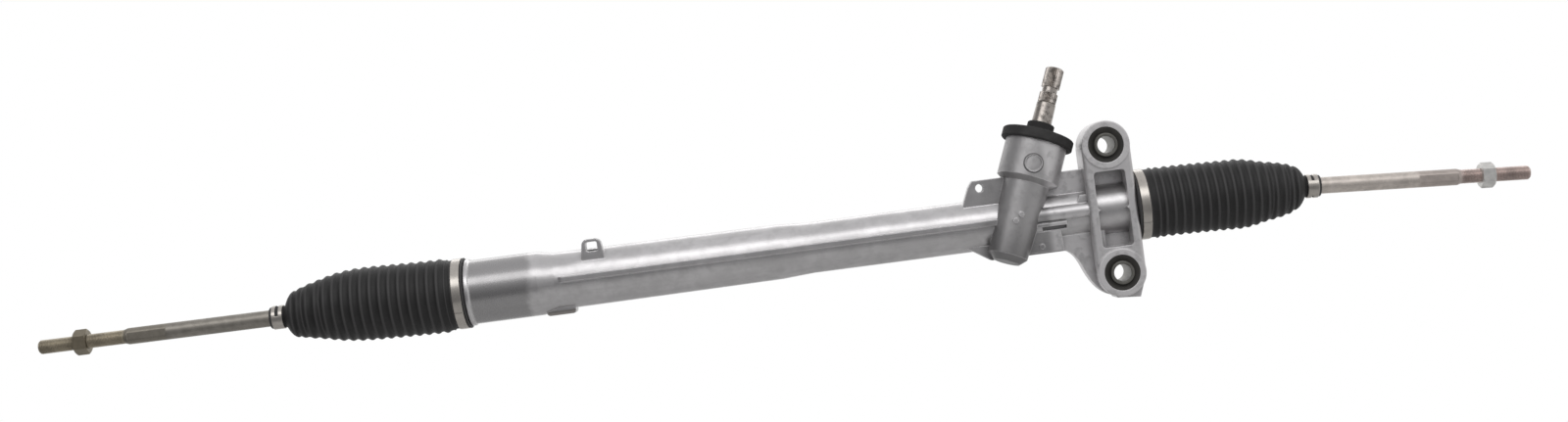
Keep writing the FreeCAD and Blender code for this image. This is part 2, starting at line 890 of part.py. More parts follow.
def bearing_balls():
    """The upper bearing's balls."""
    balls = []
    for step in range(bearing_ball_count):
        angle = 2 * math.pi * step / bearing_ball_count
        centre = Vector(
            bearing_ball_circle() * math.cos(angle),
            bearing_ball_circle() * math.sin(angle),
            bearing_bottom + bearing_width / 2,
        )
        balls.append(Part.makeSphere(bearing_ball_radius, centre))
    return moved(Part.makeCompound(balls), tower_frame())


def needles():
    """The lower bearing's needle rollers."""
    circle = journal_radius + needle_radius + running_clearance
    start = -pinion_face_width / 2 - journal_length + (journal_length - needle_length) / 2
    rollers = []
    for step in range(needle_count):
        angle = 2 * math.pi * step / needle_count
        foot = Vector(circle * math.cos(angle), circle * math.sin(angle), start)
        rollers.append(Part.makeCylinder(needle_radius, needle_length, foot))
    return moved(Part.makeCompound(rollers), tower_frame())


def needle_shell():
    """The lower bearing's drawn shell, with a lip at each end that keeps the needles in."""
    outer = needle_shell_radius()
    inner = outer - needle_shell_wall
    middle = -pinion_face_width / 2 - journal_length / 2
    half = journal_length / 2
    shell = ring(outer, inner, middle - half, middle + half)
    lip_width = (journal_length - needle_length) / 2 - seat_clearance
    lip_bore = journal_radius + loose_clearance
    lips = []
    for start in (middle - half, middle + half - lip_width):
        lips.append(ring(inner + needle_shell_wall / 2, lip_bore, start, start + lip_width))
    return moved(shell.fuse(lips), tower_frame())


def snap_ring():
    """The internal snap ring that holds the upper bearing, with its gap and two eyes."""
    bottom = bearing_bottom + bearing_width + snap_ring_gap
    outer = bearing_outer_radius + snap_ring_bite
    inner = bearing_outer_radius - snap_ring_width
    top = bottom + snap_ring_thickness - seat_clearance
    body = ring(outer - seat_clearance, inner, bottom + seat_clearance, top)
    eyes = []
    holes = []
    for sign in (1, -1):
        place = Vector(sign * snap_ring_eye_step, inner, bottom + seat_clearance)
        eyes.append(Part.makeCylinder(snap_ring_eye_radius, snap_ring_thickness - 2 * seat_clearance, place))
        holes.append(Part.makeCylinder(snap_ring_eye_radius / 2, snap_ring_thickness, place))
    gap = box((-snap_ring_eye_step / 2, 0, bottom - 1), (snap_ring_eye_step / 2, outer + 1, bottom + 3))
    return moved(body.fuse(eyes).cut(holes + [gap]), tower_frame())


def shaft_circlip():
    """The circlip on the pinion shaft, above the bearing's inner race."""
    bottom = bearing_bottom + bearing_width + snap_ring_gap
    body = ring(bearing_bore_radius + circlip_width, bearing_bore_radius - circlip_bite + seat_clearance,
                bottom + seat_clearance, bottom + circlip_thickness - seat_clearance)
    gap = box((-circlip_width, 0, bottom - 1), (circlip_width, bearing_outer_radius, bottom + 3))
    return moved(body.cut(gap), tower_frame())


def oil_seal():
    """The lip seal over the upper bearing: a metal-backed ring with a lip that leans on the shaft."""
    bottom = bearing_bottom + bearing_width + snap_ring_gap + snap_ring_thickness + seal_gap
    top = bottom + seal_width
    outline = [
        (bottom, bearing_outer_radius),
        (top, bearing_outer_radius),
        (top, shaft_radius + seal_lip_height),
        (top - seal_wall, shaft_radius + seal_lip_height),
        (bottom + seal_wall * 2, shaft_radius + loose_clearance),
        (bottom + seal_wall, shaft_radius + loose_clearance),
        (bottom + seal_wall, bearing_outer_radius - seal_wall),
        (bottom, bearing_outer_radius - seal_wall),
    ]
    seal = turned(outline)
    seal.Placement = Placement(ORIGIN, Rotation(X_AXIS, Z_AXIS))
    return moved(seal, tower_frame())


def dust_cover():
    """The black dust cover that is pushed over the tower's top, with a neck round the input shaft."""
    bottom = tower_top - cover_overlap
    rim_top = bottom + cover_skirt
    inner = tower_upper_radius + seat_clearance
    bore = shaft_radius + loose_clearance
    hub_bottom = rim_top + cover_cone_height
    outline = [
        (bottom, inner),
        (bottom, cover_radius - cover_edge),
        (bottom + cover_edge, cover_radius),
        (rim_top - cover_edge, cover_radius),
        (rim_top, cover_radius - cover_edge),
        (rim_top, cover_cone_radius),
        (hub_bottom, cover_hub_radius),
        (cover_hub_top - cover_edge, cover_hub_radius),
        (cover_hub_top, cover_hub_radius - cover_edge),
        (cover_hub_top, bore),
        (hub_bottom - cover_wall, bore),
        (rim_top - cover_wall, cover_cone_radius - cover_wall),
        (rim_top - cover_wall, tower_upper_radius - cover_seat_width),
        (tower_top, tower_upper_radius - cover_seat_width),
        (tower_top, inner),
    ]
    cover = turned(outline)
    cover.Placement = Placement(ORIGIN, Rotation(X_AXIS, Z_AXIS))
    return moved(cover, tower_frame())


def on_circle(radius, angle):
    """The point of a circle round the origin at an angle in radians."""
    return Vector(radius * math.cos(angle), radius * math.sin(angle), 0)


def involute_point(base_radius, radius, start_angle):
    """A point of an involute at a radius, turned by a starting angle."""
    pressure = math.acos(base_radius / radius)
    return on_circle(radius, start_angle + math.tan(pressure) - pressure)


def pinion_section():
    """The closed outline of the pinion's teeth in a plane square to its axis, with a tooth along Y."""
    lean = math.radians(pinion_lean)
    slope = math.tan(math.radians(pressure_angle)) / math.cos(lean)
    transverse = math.atan(slope)
    base_radius = pinion_pitch_radius * math.cos(transverse)
    thickness = math.pi * module / math.cos(lean) / 2 + 2 * profile_shift * slope - tooth_backlash * 2
    base_half = thickness / 2 / pinion_pitch_radius + math.tan(transverse) - transverse
    flank_start = base_radius * 1.001
    steps = 5
    radii = [flank_start + (pinion_tip_radius - flank_start) * step / steps for step in range(steps + 1)]
    edges = []
    for tooth in range(pinion_teeth):
        middle = math.pi / 2 + 2 * math.pi * tooth / pinion_teeth
        following = middle + 2 * math.pi / pinion_teeth
        rising = [involute_point(base_radius, radius, middle - base_half) for radius in radii]
        falling = []
        for point in rising:
            angle = 2 * middle - math.atan2(point.y, point.x)
            falling.append(on_circle(point.Length, angle))
        falling.reverse()
        tip = on_circle(pinion_tip_radius, middle)
        root_angle = base_half * 0.93
        root_start = on_circle(pinion_root_radius, middle + root_angle)
        root_middle = on_circle(pinion_root_radius, (middle + following) / 2)
        root_end = on_circle(pinion_root_radius, following - root_angle)
        next_rising = involute_point(base_radius, flank_start, following - base_half)
        up = Part.BSplineCurve()
        up.interpolate(rising)
        down = Part.BSplineCurve()
        down.interpolate(falling)
        edges.append(up.toShape())
        edges.append(Part.Arc(rising[-1], tip, falling[0]).toShape())
        edges.append(down.toShape())
        edges.append(Part.LineSegment(falling[-1], root_start).toShape())
        edges.append(Part.Arc(root_start, root_middle, root_end).toShape())
        edges.append(Part.LineSegment(root_end, next_rising).toShape())
    return Part.Wire(edges)


def pinion_teeth_solid():
    """The helical teeth, a loft through turned copies of the outline."""
    section = pinion_section()
    lead_angle = math.degrees(math.tan(math.radians(pinion_lean)) / pinion_pitch_radius)
    sections = []
    for step in range(pinion_sections):
        height = pinion_face_width * (step / (pinion_sections - 1) - 0.5)
        copy = section.copy()
        copy.rotate(ORIGIN, Z_AXIS, height * lead_angle)
        copy.translate(Vector(0, 0, height))
        sections.append(copy)
    return Part.makeLoft(sections, True, False)


def serrated(radius, depth, count, start, end):
    """A bar with sharp serrations along Z."""
    points = []
    for step in range(2 * count):
        reach = radius if step % 2 == 0 else radius - depth
        angle = math.pi * step / count
        points.append(Vector(reach * math.cos(angle), reach * math.sin(angle), start))
    return Part.Face(Part.makePolygon(points + points[:1])).extrude(Vector(0, 0, end - start))


def pinion_shaft():
    """The pinion with its lower journal, its bearing seat and the serrated input end, all one forging."""
    half_face = pinion_face_width / 2
    circlip_bottom = bearing_bottom + bearing_width + snap_ring_gap
    neck = bearing_bore_radius - circlip_bite
    journal_end = -half_face - journal_length
    outline = [
        (journal_end, 0),
        (journal_end, journal_radius - 1),
        (journal_end + 1, journal_radius),
        (-half_face + 1, journal_radius),
        (-half_face + 1, pinion_root_radius - 1),
        (half_face - 1, pinion_root_radius - 1),
        (half_face - 1, pinion_shoulder_radius),
        (bearing_bottom, pinion_shoulder_radius),
        (bearing_bottom, bearing_bore_radius),
        (circlip_bottom, bearing_bore_radius),
        (circlip_bottom, neck),
        (circlip_bottom + circlip_thickness, neck),
        (circlip_bottom + circlip_thickness, shaft_radius),
        (cover_hub_top, shaft_radius),
        (shaft_band_bottom - 1, shaft_upper_radius),
        (shaft_band_bottom, shaft_band_radius - spline_depth),
        (shaft_band_top, shaft_band_radius - spline_depth),
        (shaft_band_top, shaft_neck_radius),
        (shaft_spline_bottom, shaft_neck_radius),
        (shaft_tip, shaft_neck_radius),
        (shaft_tip, 0),
    ]
    core = turned(outline)
    core.Placement = Placement(ORIGIN, Rotation(X_AXIS, Z_AXIS))
    band = serrated(shaft_band_radius, spline_depth, spline_count, shaft_band_bottom, shaft_band_top)
    spline = serrated(spline_radius, spline_depth, spline_count, shaft_spline_bottom, shaft_tip)
    slope_start = shaft_tip - shaft_tip_chamfer - 1
    around = spline_radius + 1
    trim = Part.makeCone(
        around, spline_radius - shaft_tip_chamfer, shaft_tip - slope_start, Vector(0, 0, slope_start))
    below = Part.makeCylinder(around, slope_start - shaft_spline_bottom, Vector(0, 0, shaft_spline_bottom))
    spline = spline.common(trim.fuse(below))
    return moved(core.fuse([pinion_teeth_solid(), band, spline]), tower_frame())


def rack_bar():
    """The rack bar with its straight-cut teeth on the side that faces the pinion."""
    start = left_end_x - ball_offset + socket_back + washer_thickness
    end = right_end_x + ball_offset - socket_back - washer_thickness
    bar = Part.makeCylinder(rack_bar_radius, end - start, Vector(start, 0, 0), X_AXIS)
    bar = bar.makeChamfer(rack_bar_end_chamfer, [
        edge for edge in bar.Edges if isinstance(edge.Curve, Part.Circle)
    ])
    tip = pitch_line_height + rack_addendum
    root = pitch_line_height - rack_dedendum
    pitch = math.pi * module
    slope = math.tan(math.radians(pressure_angle))
    count = int(toothed_length / pitch / 2)
    reach = rack_bar_radius + 1
    over = rack_bar_radius - tip + 1
    half_flat = (count + 0.5) * pitch
    cuts = [box((pinion_x - half_flat, -tip - over, -reach), (pinion_x + half_flat, -tip, reach))]
    for step in range(-count, count + 1):
        middle = pinion_x + step * pitch
        top_half = pitch / 4 + (rack_addendum + 1) * slope
        bottom_half = pitch / 4 - rack_dedendum * slope
        corners = [
            Vector(middle - top_half, -tip - 1, -reach),
            Vector(middle - bottom_half, -root, -reach),
            Vector(middle + bottom_half, -root, -reach),
            Vector(middle + top_half, -tip - 1, -reach),
        ]
        gap = Part.Face(Part.makePolygon(corners + corners[:1])).extrude(Vector(0, 0, 2 * reach))
        cuts.append(gap)
    stud_bore = socket_stud_radius + seat_clearance
    for place, direction in ((start, 1), (end, -1)):
        cuts.append(Part.makeCylinder(
            stud_bore, socket_stud_length + 3, Vector(place, 0, 0), X_AXIS * direction))
    bar = bar.cut(cuts)
    bar.rotate(ORIGIN, X_AXIS, tower_tilt)
    return bar


def rack_guide():
    """The sliding guide that presses the rack bar against the pinion."""
    back = guide_back()
    body = Part.makeCylinder(guide_radius, guide_length, Vector(0, 0, back - guide_length))
    saddle = rack_bar_radius + running_clearance + guide_liner_thickness + seat_clearance
    saddle_cut = Part.makeCylinder(saddle, 4 * guide_radius, Vector(-2 * guide_radius, 0, 0), X_AXIS)
    pocket_floor_height = back - guide_pocket_depth
    pocket = Part.makeCylinder(guide_pocket_radius, guide_pocket_depth + 1, Vector(0, 0, pocket_floor_height))
    groove = ring(
        guide_radius + 1, guide_radius - 2 * guide_ring_radius - seat_clearance,
        back - guide_ring_place - guide_ring_radius - 0.1, back - guide_ring_place + guide_ring_radius + 0.1)
    return moved(body.cut([saddle_cut, pocket, groove]), guide_frame())


def guide_liner():
    """The low-friction liner between the guide and the rack bar."""
    inner = rack_bar_radius + running_clearance
    shell = ring(inner + guide_liner_thickness, inner, -guide_liner_radius, guide_liner_radius, X_AXIS)
    front = guide_back() - guide_length
    keep = Part.makeCylinder(guide_liner_radius, 2 * rack_bar_radius, Vector(0, 0, front))
    return moved(shell.common(keep), guide_frame())


def guide_ring():
    """The rubber ring round the guide."""
    place = Vector(0, 0, guide_back() - guide_ring_place)
    radius = guide_radius - guide_ring_radius
    return moved(Part.makeTorus(radius, guide_ring_radius, place), guide_frame())


def guide_spring():
    """The coil spring between the guide and its plug."""
    start = guide_back() - guide_pocket_depth + guide_spring_wire_radius + seat_clearance
    end = guide_back() + guide_plug_gap + guide_plug_pocket_depth - guide_spring_wire_radius - seat_clearance
    radius = guide_pocket_radius - guide_spring_wire_radius - loose_clearance
    path = Part.makeHelix((end - start) / guide_spring_turns, end - start, radius)
    section = Part.Wire(Part.makeCircle(guide_spring_wire_radius, Vector(radius, 0, 0), Y_AXIS))
    spring = Part.Wire(path.Edges).makePipeShell([section], True, True)
    spring.translate(Vector(0, 0, start))
    return moved(spring, guide_frame())


def guide_plug():
    """The threaded plug that closes the guide's bore and sets its play."""
    start = guide_back() + guide_plug_gap
    body = Part.makeCylinder(guide_plug_radius, guide_plug_length, Vector(0, 0, start))
    pocket = Part.makeCylinder(guide_pocket_radius, guide_plug_pocket_depth + 1, Vector(0, 0, start - 1))
    drive = hex_prism(guide_plug_hex_across, guide_plug_hex_height + 1)
    drive.translate(Vector(0, 0, start + guide_plug_length - 1))
    return moved(body.cut(pocket).fuse(drive), guide_frame())


def guide_lock_nut():
    """The lock nut round the guide's plug."""
    nut = hex_prism(guide_nut_across, guide_nut_thickness)
    nut = nut.cut(Part.makeCylinder(guide_plug_radius + seat_clearance, guide_nut_thickness))
    nut.translate(Vector(0, 0, guide_boss_top()))
    return moved(nut, guide_frame())


def socket(side):
    """The socket screwed on an end of the rack bar, which holds a tie rod's ball."""
    body = Part.makeCylinder(socket_radius, socket_back + socket_front, Vector(-socket_back, 0, 0), X_AXIS)
    rims = [edge for edge in body.Edges if isinstance(edge.Curve, Part.Circle)]
    body = body.makeChamfer(socket_chamfer, rims)
    for sign in (1, -1):
        low = socket_flats_across / 2
        flat = box(
            (-socket_back - 1, -socket_radius, low),
            (-socket_back + socket_flats_length, socket_radius, socket_radius + 1),
        )
        if sign < 0:
            flat.rotate(ORIGIN, X_AXIS, 180)
        body = body.cut(flat)
    stud = Part.makeCylinder(
        socket_stud_radius, socket_stud_length + 1, Vector(-socket_back - socket_stud_length, 0, 0), X_AXIS)
    cavity = Part.makeSphere(ball_radius + ball_seat_wall + 2 * running_clearance)
    mouth_reach = socket_front + 1
    mouth = Part.makeCone(
        0, mouth_reach * math.tan(math.radians(mouth_half_angle)), mouth_reach, ORIGIN, X_AXIS)
    body = body.fuse(stud).cut([cavity, mouth])
    return moved(body, side_frame(side).multiply(Placement(Vector(ball_offset, 0, 0), Rotation())))


def claw_washer(side):
    """The lock washer behind a socket, with two claws bent over the socket's flats."""
    hole = socket_stud_radius + seat_clearance
    body = ring(washer_radius, hole, -socket_back - washer_thickness, -socket_back, X_AXIS)
    inner = socket_flats_across / 2 + seat_clearance
    claws = []
    for sign in (1, -1):
        claw = box(
            (-socket_back - washer_thickness, -claw_width / 2, washer_radius - 3),
            (-socket_back + claw_length, claw_width / 2, inner + washer_thickness),
        )
        hollow = box(
            (-socket_back, -claw_width, 0),
            (-socket_back + claw_length + 1, claw_width, inner),
        )
        claw = claw.cut(hollow)
        if sign < 0:
            claw.rotate(ORIGIN, X_AXIS, 180)
        claws.append(claw)
    return moved(
        body.fuse(claws), side_frame(side).multiply(Placement(Vector(ball_offset, 0, 0), Rotation())))


def ball_seat(side):
    """The polymer shell between a socket and a ball."""
    shell = Part.makeSphere(ball_radius + ball_seat_wall + running_clearance)
    shell = shell.cut(Part.makeSphere(ball_radius + running_clearance))
    reach = 2 * ball_radius
    mouth = Part.makeCone(
        0, reach * math.tan(math.radians(seat_mouth_half_angle)), reach, ORIGIN, X_AXIS)
    return moved(shell.cut(mouth), rod_frame(side))


def rod_sizes(side):
    """Where a tie rod's flats start and where its tip is, from the ball's centre."""
    shank, thread = left_rod_shank, left_rod_thread
    if side == "right":
        shank, thread = right_rod_shank, right_rod_thread
    flats_end = shank + rod_flats_length
    return shank, flats_end, flats_end + rod_flats_relief, flats_end + rod_flats_relief + thread


def tie_rod(side):
    """A tie rod with its ball, its two flats for a spanner and its threaded end."""
    shank, flats_end, thread_start, tip = rod_sizes(side)
    outline = [
        (0, 0),
        (0, rod_neck_radius),
        (rod_neck_end, rod_neck_radius),
        (rod_neck_end + rod_neck_taper, rod_radius),
        (flats_end, rod_radius),
        (thread_start, rod_thread_radius),
        (tip - rod_tip_chamfer, rod_thread_radius),
        (tip, rod_thread_radius - rod_tip_chamfer),
        (tip, 0),
    ]
    rod = turned(outline)
    flats = []
    for sign in (1, -1):
        flat = box(
            (shank, rod_flats_across / 2, -rod_radius),
            (flats_end, rod_radius + 1, rod_radius),
        )
        if sign < 0:
            flat.rotate(ORIGIN, X_AXIS, 180)
        flat.rotate(ORIGIN, X_AXIS, rod_flats_turn)
        flats.append(flat)
    rod = rod.cut(flats).fuse(Part.makeSphere(ball_radius))
    return moved(rod, rod_frame(side))


def jam_nut(side):
    """The jam nut on a tie rod's thread."""
    tip = rod_sizes(side)[3]
    nut = hex_prism(jam_nut_across, jam_nut_length, X_AXIS)
    nut = nut.cut(Part.makeCylinder(rod_thread_radius + seat_clearance, jam_nut_length, ORIGIN, X_AXIS))
    nut.translate(Vector(tip - jam_nut_to_tip - jam_nut_length, 0, 0))
    return moved(nut, rod_frame(side))


def neck_from_ball(side):
    """How far out from the ball's centre a boot's neck starts, which is also half of its bend's length."""
    return right_neck_from_ball if side == "right" else left_neck_from_ball


def crest_radius(crests, place):
    """The radius over a boot's folds, read from its row of (place, radius) pairs."""
    for (near, near_radius), (far, far_radius) in zip(crests, crests[1:]):
        if place <= far:
            share = max(0.0, (place - near) / (far - near))
            return near_radius + (far_radius - near_radius) * share
    return crests[-1][1]


def boot_outline(side):
    """The (x, outer radius, wall) rings of a boot, outwards from the housing's end face."""
    crests = right_boot_crests if side == "right" else left_boot_crests
    neck_start = ball_offset + neck_from_ball(side)
    pitch = (neck_start - boot_neck_lead - boot_first_fold) / boot_fold_count
    cuff = spigot_radius + boot_cuff_thickness
    lip = cuff + boot_lip_proud
    band = large_clamp_width / 2 + seat_clearance
    neck = rod_radius + boot_neck_gap + boot_neck_wall
    rings = [
        (-spigot_length, lip, lip - spigot_radius),
        (large_clamp_centre - band - boot_lip_proud, lip, lip - spigot_radius),
        (large_clamp_centre - band, cuff, boot_cuff_thickness),
        (large_clamp_centre + band, cuff, boot_cuff_thickness),
        (large_clamp_centre + band + boot_lip_proud, lip, lip - spigot_radius),
        (0, lip, lip - spigot_radius),
    ]
    for step in range(boot_fold_count):
        middle = boot_first_fold + pitch * (step + 0.5)
        for place, depth in ((middle - pitch / 2, boot_fold_depth), (middle, 0)):
            crest = crest_radius(crests, place)
            rings.append((place, crest - depth * crest / crests[0][1], boot_wall))
    rings.append((neck_start, neck, boot_neck_wall))
    rings.append((neck_start + boot_neck_length, neck, boot_neck_wall))
    return rings


def bend_place(distance, side):
    """The placement of a boot's ring, on a line that bends from the housing's axis to the rod's axis."""
    droop = right_rod_droop if side == "right" else left_rod_droop
    sag = right_boot_sag if side == "right" else left_boot_sag
    half = neck_from_ball(side)
    share = min(1.0, max(0.0, distance / (ball_offset + half)))
    hang = sag * sag_shape * share ** 2 * (1 - share)
    along = (distance - ball_offset + half) / (2 * half)
    slope = math.radians(droop)
    if along <= 0:
        angle, drop = 0.0, 0.0
    elif along >= 1:
        angle, drop = slope, slope * (distance - ball_offset)
    else:
        angle = slope * along ** 2 * (3 - 2 * along)
        drop = slope * 2 * half * (along ** 3 - along ** 4 / 2)
    return Placement(Vector(distance, 0, -drop - hang), Rotation(Y_AXIS, math.degrees(angle)))


def boot_skin(rings, side):
    """A closed solid through a row of (x, radius) rings along a bent line."""
    circles = []
    for distance, radius in rings:
        circle = Part.Wire(Part.makeCircle(radius, ORIGIN, X_AXIS))
        circle.Placement = bend_place(distance, side)
        circles.append(circle)
    return Part.makeLoft(circles, True, True)


def boot(side):
    """The pleated rubber boot of one side, from its spigot to its tie rod."""
    rings = boot_outline(side)
    outer = boot_skin([(x, radius) for x, radius, wall in rings], side)
    cuff_bore = spigot_radius + seat_clearance
    inside = [(-spigot_length - 1, cuff_bore), (0, cuff_bore)]
    inside += [(x, radius - wall) for x, radius, wall in rings if x > 0]
    last_x, last_radius = inside[-1]
    inside.append((last_x + 1, last_radius))
    return moved(outer.cut(boot_skin(inside, side)), side_frame(side))


def band_clamp(inner_radius, thickness, width, ear_height, ear_width):
    """An ear clamp round X: a thin band with a raised ear on top."""
    band = ring(inner_radius + thickness, inner_radius, -width / 2, width / 2, X_AXIS)
    high = inner_radius + ear_height
    ear = box((-width / 2, -ear_width / 2, inner_radius), (width / 2, ear_width / 2, high))
    tops = [
        edge for edge in ear.Edges
        if abs(edge.Vertexes[0].Z - high) < 0.1 and abs(edge.Vertexes[1].Z - high) < 0.1
        and abs(edge.Vertexes[0].X - edge.Vertexes[1].X) > 0.1
    ]
    ear = ear.makeFillet(ear_width / 4, tops)
    hollow = box(
        (-width / 2 - 1, -ear_width / 2 + thickness, 0),
        (width / 2 + 1, ear_width / 2 - thickness, high - thickness),
    )
    core = Part.makeCylinder(inner_radius, width, Vector(-width / 2, 0, 0), X_AXIS)
    return band.fuse(ear).cut([hollow, core])


def large_clamp(side):
    """The clamp that holds a boot on its spigot."""
    clamp = band_clamp(
        spigot_radius + boot_cuff_thickness + seat_clearance, large_clamp_thickness, large_clamp_width,
        clamp_ear_height, clamp_ear_width)
    clamp.rotate(ORIGIN, X_AXIS, right_clamp_turn if side == "right" else left_clamp_turn)
    clamp.translate(Vector(large_clamp_centre, 0, 0))
    return moved(clamp, side_frame(side))


def small_clamp(side):
    """The clamp that holds a boot on its tie rod."""
    clamp = band_clamp(
        rod_radius + boot_neck_gap + boot_neck_wall + clamp_gap, small_clamp_thickness, small_clamp_width,
        small_ear_height, small_ear_width)
    clamp.rotate(ORIGIN, X_AXIS, right_clamp_turn if side == "right" else left_clamp_turn)
    clamp.translate(Vector(neck_from_ball(side) + boot_neck_length / 2, 0, 0))
    return moved(clamp, rod_frame(side))


def export(name, shape):
    """Write one sub-part's solids and say what was written."""
    shape.exportStep("parts/" + name + ".step")
    print(name, "valid", shape.isValid(), "solids", len(shape.Solids), "volume", round(shape.Volume, 1))


def main():
    os.makedirs("parts", exist_ok=True)
    export("rack_housing", housing())
    for name, sign in (("upper", 1), ("lower", -1)):
        export(name + "_bush_rubber", bush_rubber(sign))
        export(name + "_bush_sleeve", bush_sleeve(sign))
    export("rack_bush", rack_bush())
    export("bearing_outer_race", bearing_outer_race())
    export("bearing_balls", bearing_balls())
    export("bearing_inner_race", bearing_inner_race())
    export("bearing_snap_ring", snap_ring())
    export("pinion_circlip", shaft_circlip())
    export("pinion_oil_seal", oil_seal())
    export("dust_cover", dust_cover())
    export("needle_shell", needle_shell())
    export("needle_rollers", needles())
    export("pinion_shaft", pinion_shaft())
    export("rack_bar", rack_bar())
    export("rack_guide", rack_guide())
    export("rack_guide_liner", guide_liner())
    export("rack_guide_ring", guide_ring())
    export("rack_guide_spring", guide_spring())
    export("rack_guide_plug", guide_plug())
    export("rack_guide_lock_nut", guide_lock_nut())
    for side in ("left", "right"):
        export(side + "_socket", socket(side))
        export(side + "_claw_washer", claw_washer(side))
        export(side + "_ball_seat", ball_seat(side))
        export(side + "_tie_rod", tie_rod(side))
        export(side + "_jam_nut", jam_nut(side))
        export(side + "_boot", boot(side))
        export(side + "_large_clamp", large_clamp(side))
        export(side + "_small_clamp", small_clamp(side))


if __name__ == "__main__":
    main()
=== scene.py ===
"""Looks of a rack-and-pinion steering gear: finishes, pleated boots, threaded rods, stage and camera.

Every length is in metres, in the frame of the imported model: X along the rack bar, Y from the front to the
back and Z up, with the origin on the rack bar's axis between the two mounting bushes.
"""

import json
import math

import bpy
import numpy as np
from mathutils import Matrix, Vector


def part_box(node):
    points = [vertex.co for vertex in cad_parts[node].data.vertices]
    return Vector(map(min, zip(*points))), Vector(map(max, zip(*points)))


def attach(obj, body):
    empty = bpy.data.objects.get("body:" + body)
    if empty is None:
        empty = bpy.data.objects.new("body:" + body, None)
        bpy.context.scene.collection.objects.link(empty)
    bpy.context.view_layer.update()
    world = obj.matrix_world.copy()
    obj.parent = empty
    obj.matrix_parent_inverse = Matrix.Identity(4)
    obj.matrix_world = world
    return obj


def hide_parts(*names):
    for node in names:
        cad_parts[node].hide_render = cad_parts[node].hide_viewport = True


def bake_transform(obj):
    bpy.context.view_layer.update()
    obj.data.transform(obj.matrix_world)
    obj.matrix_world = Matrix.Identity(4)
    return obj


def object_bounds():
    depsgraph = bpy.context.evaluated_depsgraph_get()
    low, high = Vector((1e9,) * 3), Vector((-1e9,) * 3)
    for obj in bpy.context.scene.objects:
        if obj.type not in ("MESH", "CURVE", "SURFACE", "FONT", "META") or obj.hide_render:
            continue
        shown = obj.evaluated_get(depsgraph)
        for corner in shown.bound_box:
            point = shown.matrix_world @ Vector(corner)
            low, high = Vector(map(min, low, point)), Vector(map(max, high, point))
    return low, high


bl_info = {
    "name": "Steering rack",
    "version": (1, 0, 0),
    "blender": (4, 5, 0),
    "location": "View3D > Sidebar > Steering rack",
    "description": "Finishes and detail pieces of a steering rack round its packed model",
    "category": "Object",
}

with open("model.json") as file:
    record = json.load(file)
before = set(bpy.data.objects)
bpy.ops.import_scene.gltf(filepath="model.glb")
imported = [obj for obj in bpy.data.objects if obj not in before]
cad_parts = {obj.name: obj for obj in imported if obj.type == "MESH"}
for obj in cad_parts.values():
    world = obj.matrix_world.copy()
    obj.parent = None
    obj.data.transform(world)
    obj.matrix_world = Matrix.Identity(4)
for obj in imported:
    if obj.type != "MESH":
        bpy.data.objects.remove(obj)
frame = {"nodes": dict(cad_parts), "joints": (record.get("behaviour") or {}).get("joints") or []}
CAD_LOW, CAD_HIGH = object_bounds()
NODES = frame["nodes"]
JOINTS = {joint["name"]: joint for joint in frame["joints"]}
SIDES = {"left": -1.0, "right": 1.0}

MM = 0.001


# Shader expressions


class Signal:
    """A number, colour or vector inside a finish, with arithmetic that adds the matching nodes."""

    def __init__(self, finish, socket):
        self.finish = finish
        self.socket = socket

    def _math(self, operation, first, second=None):
        inputs = {0: first}
        if second is not None:
            inputs[1] = second
        made = self.finish.node("ShaderNodeMath", {"operation": operation}, inputs)
        return Signal(self.finish, made.outputs[0])

    def __add__(self, other):
        return self._math("ADD", self, other)

    def __radd__(self, other):
        return self._math("ADD", other, self)

    def __sub__(self, other):
        return self._math("SUBTRACT", self, other)

    def __rsub__(self, other):
        return self._math("SUBTRACT", other, self)

    def __mul__(self, other):
        return self._math("MULTIPLY", self, other)

    def __rmul__(self, other):
        return self._math("MULTIPLY", other, self)

    def __pow__(self, other):
        return self._math("POWER", self, other)

    def __abs__(self):
        return self._math("ABSOLUTE", self)

    def most(self, other):
        return self._math("MAXIMUM", self, other)

    def rise(self, low, high):
        """0 below low, 1 above high and a smooth step between them."""
        made = self.finish.node(
            "ShaderNodeMapRange",
            {"interpolation_type": "SMOOTHSTEP"},
            {"Value": self, "From Min": low, "From Max": high},
        )
        return Signal(self.finish, made.outputs["Result"])


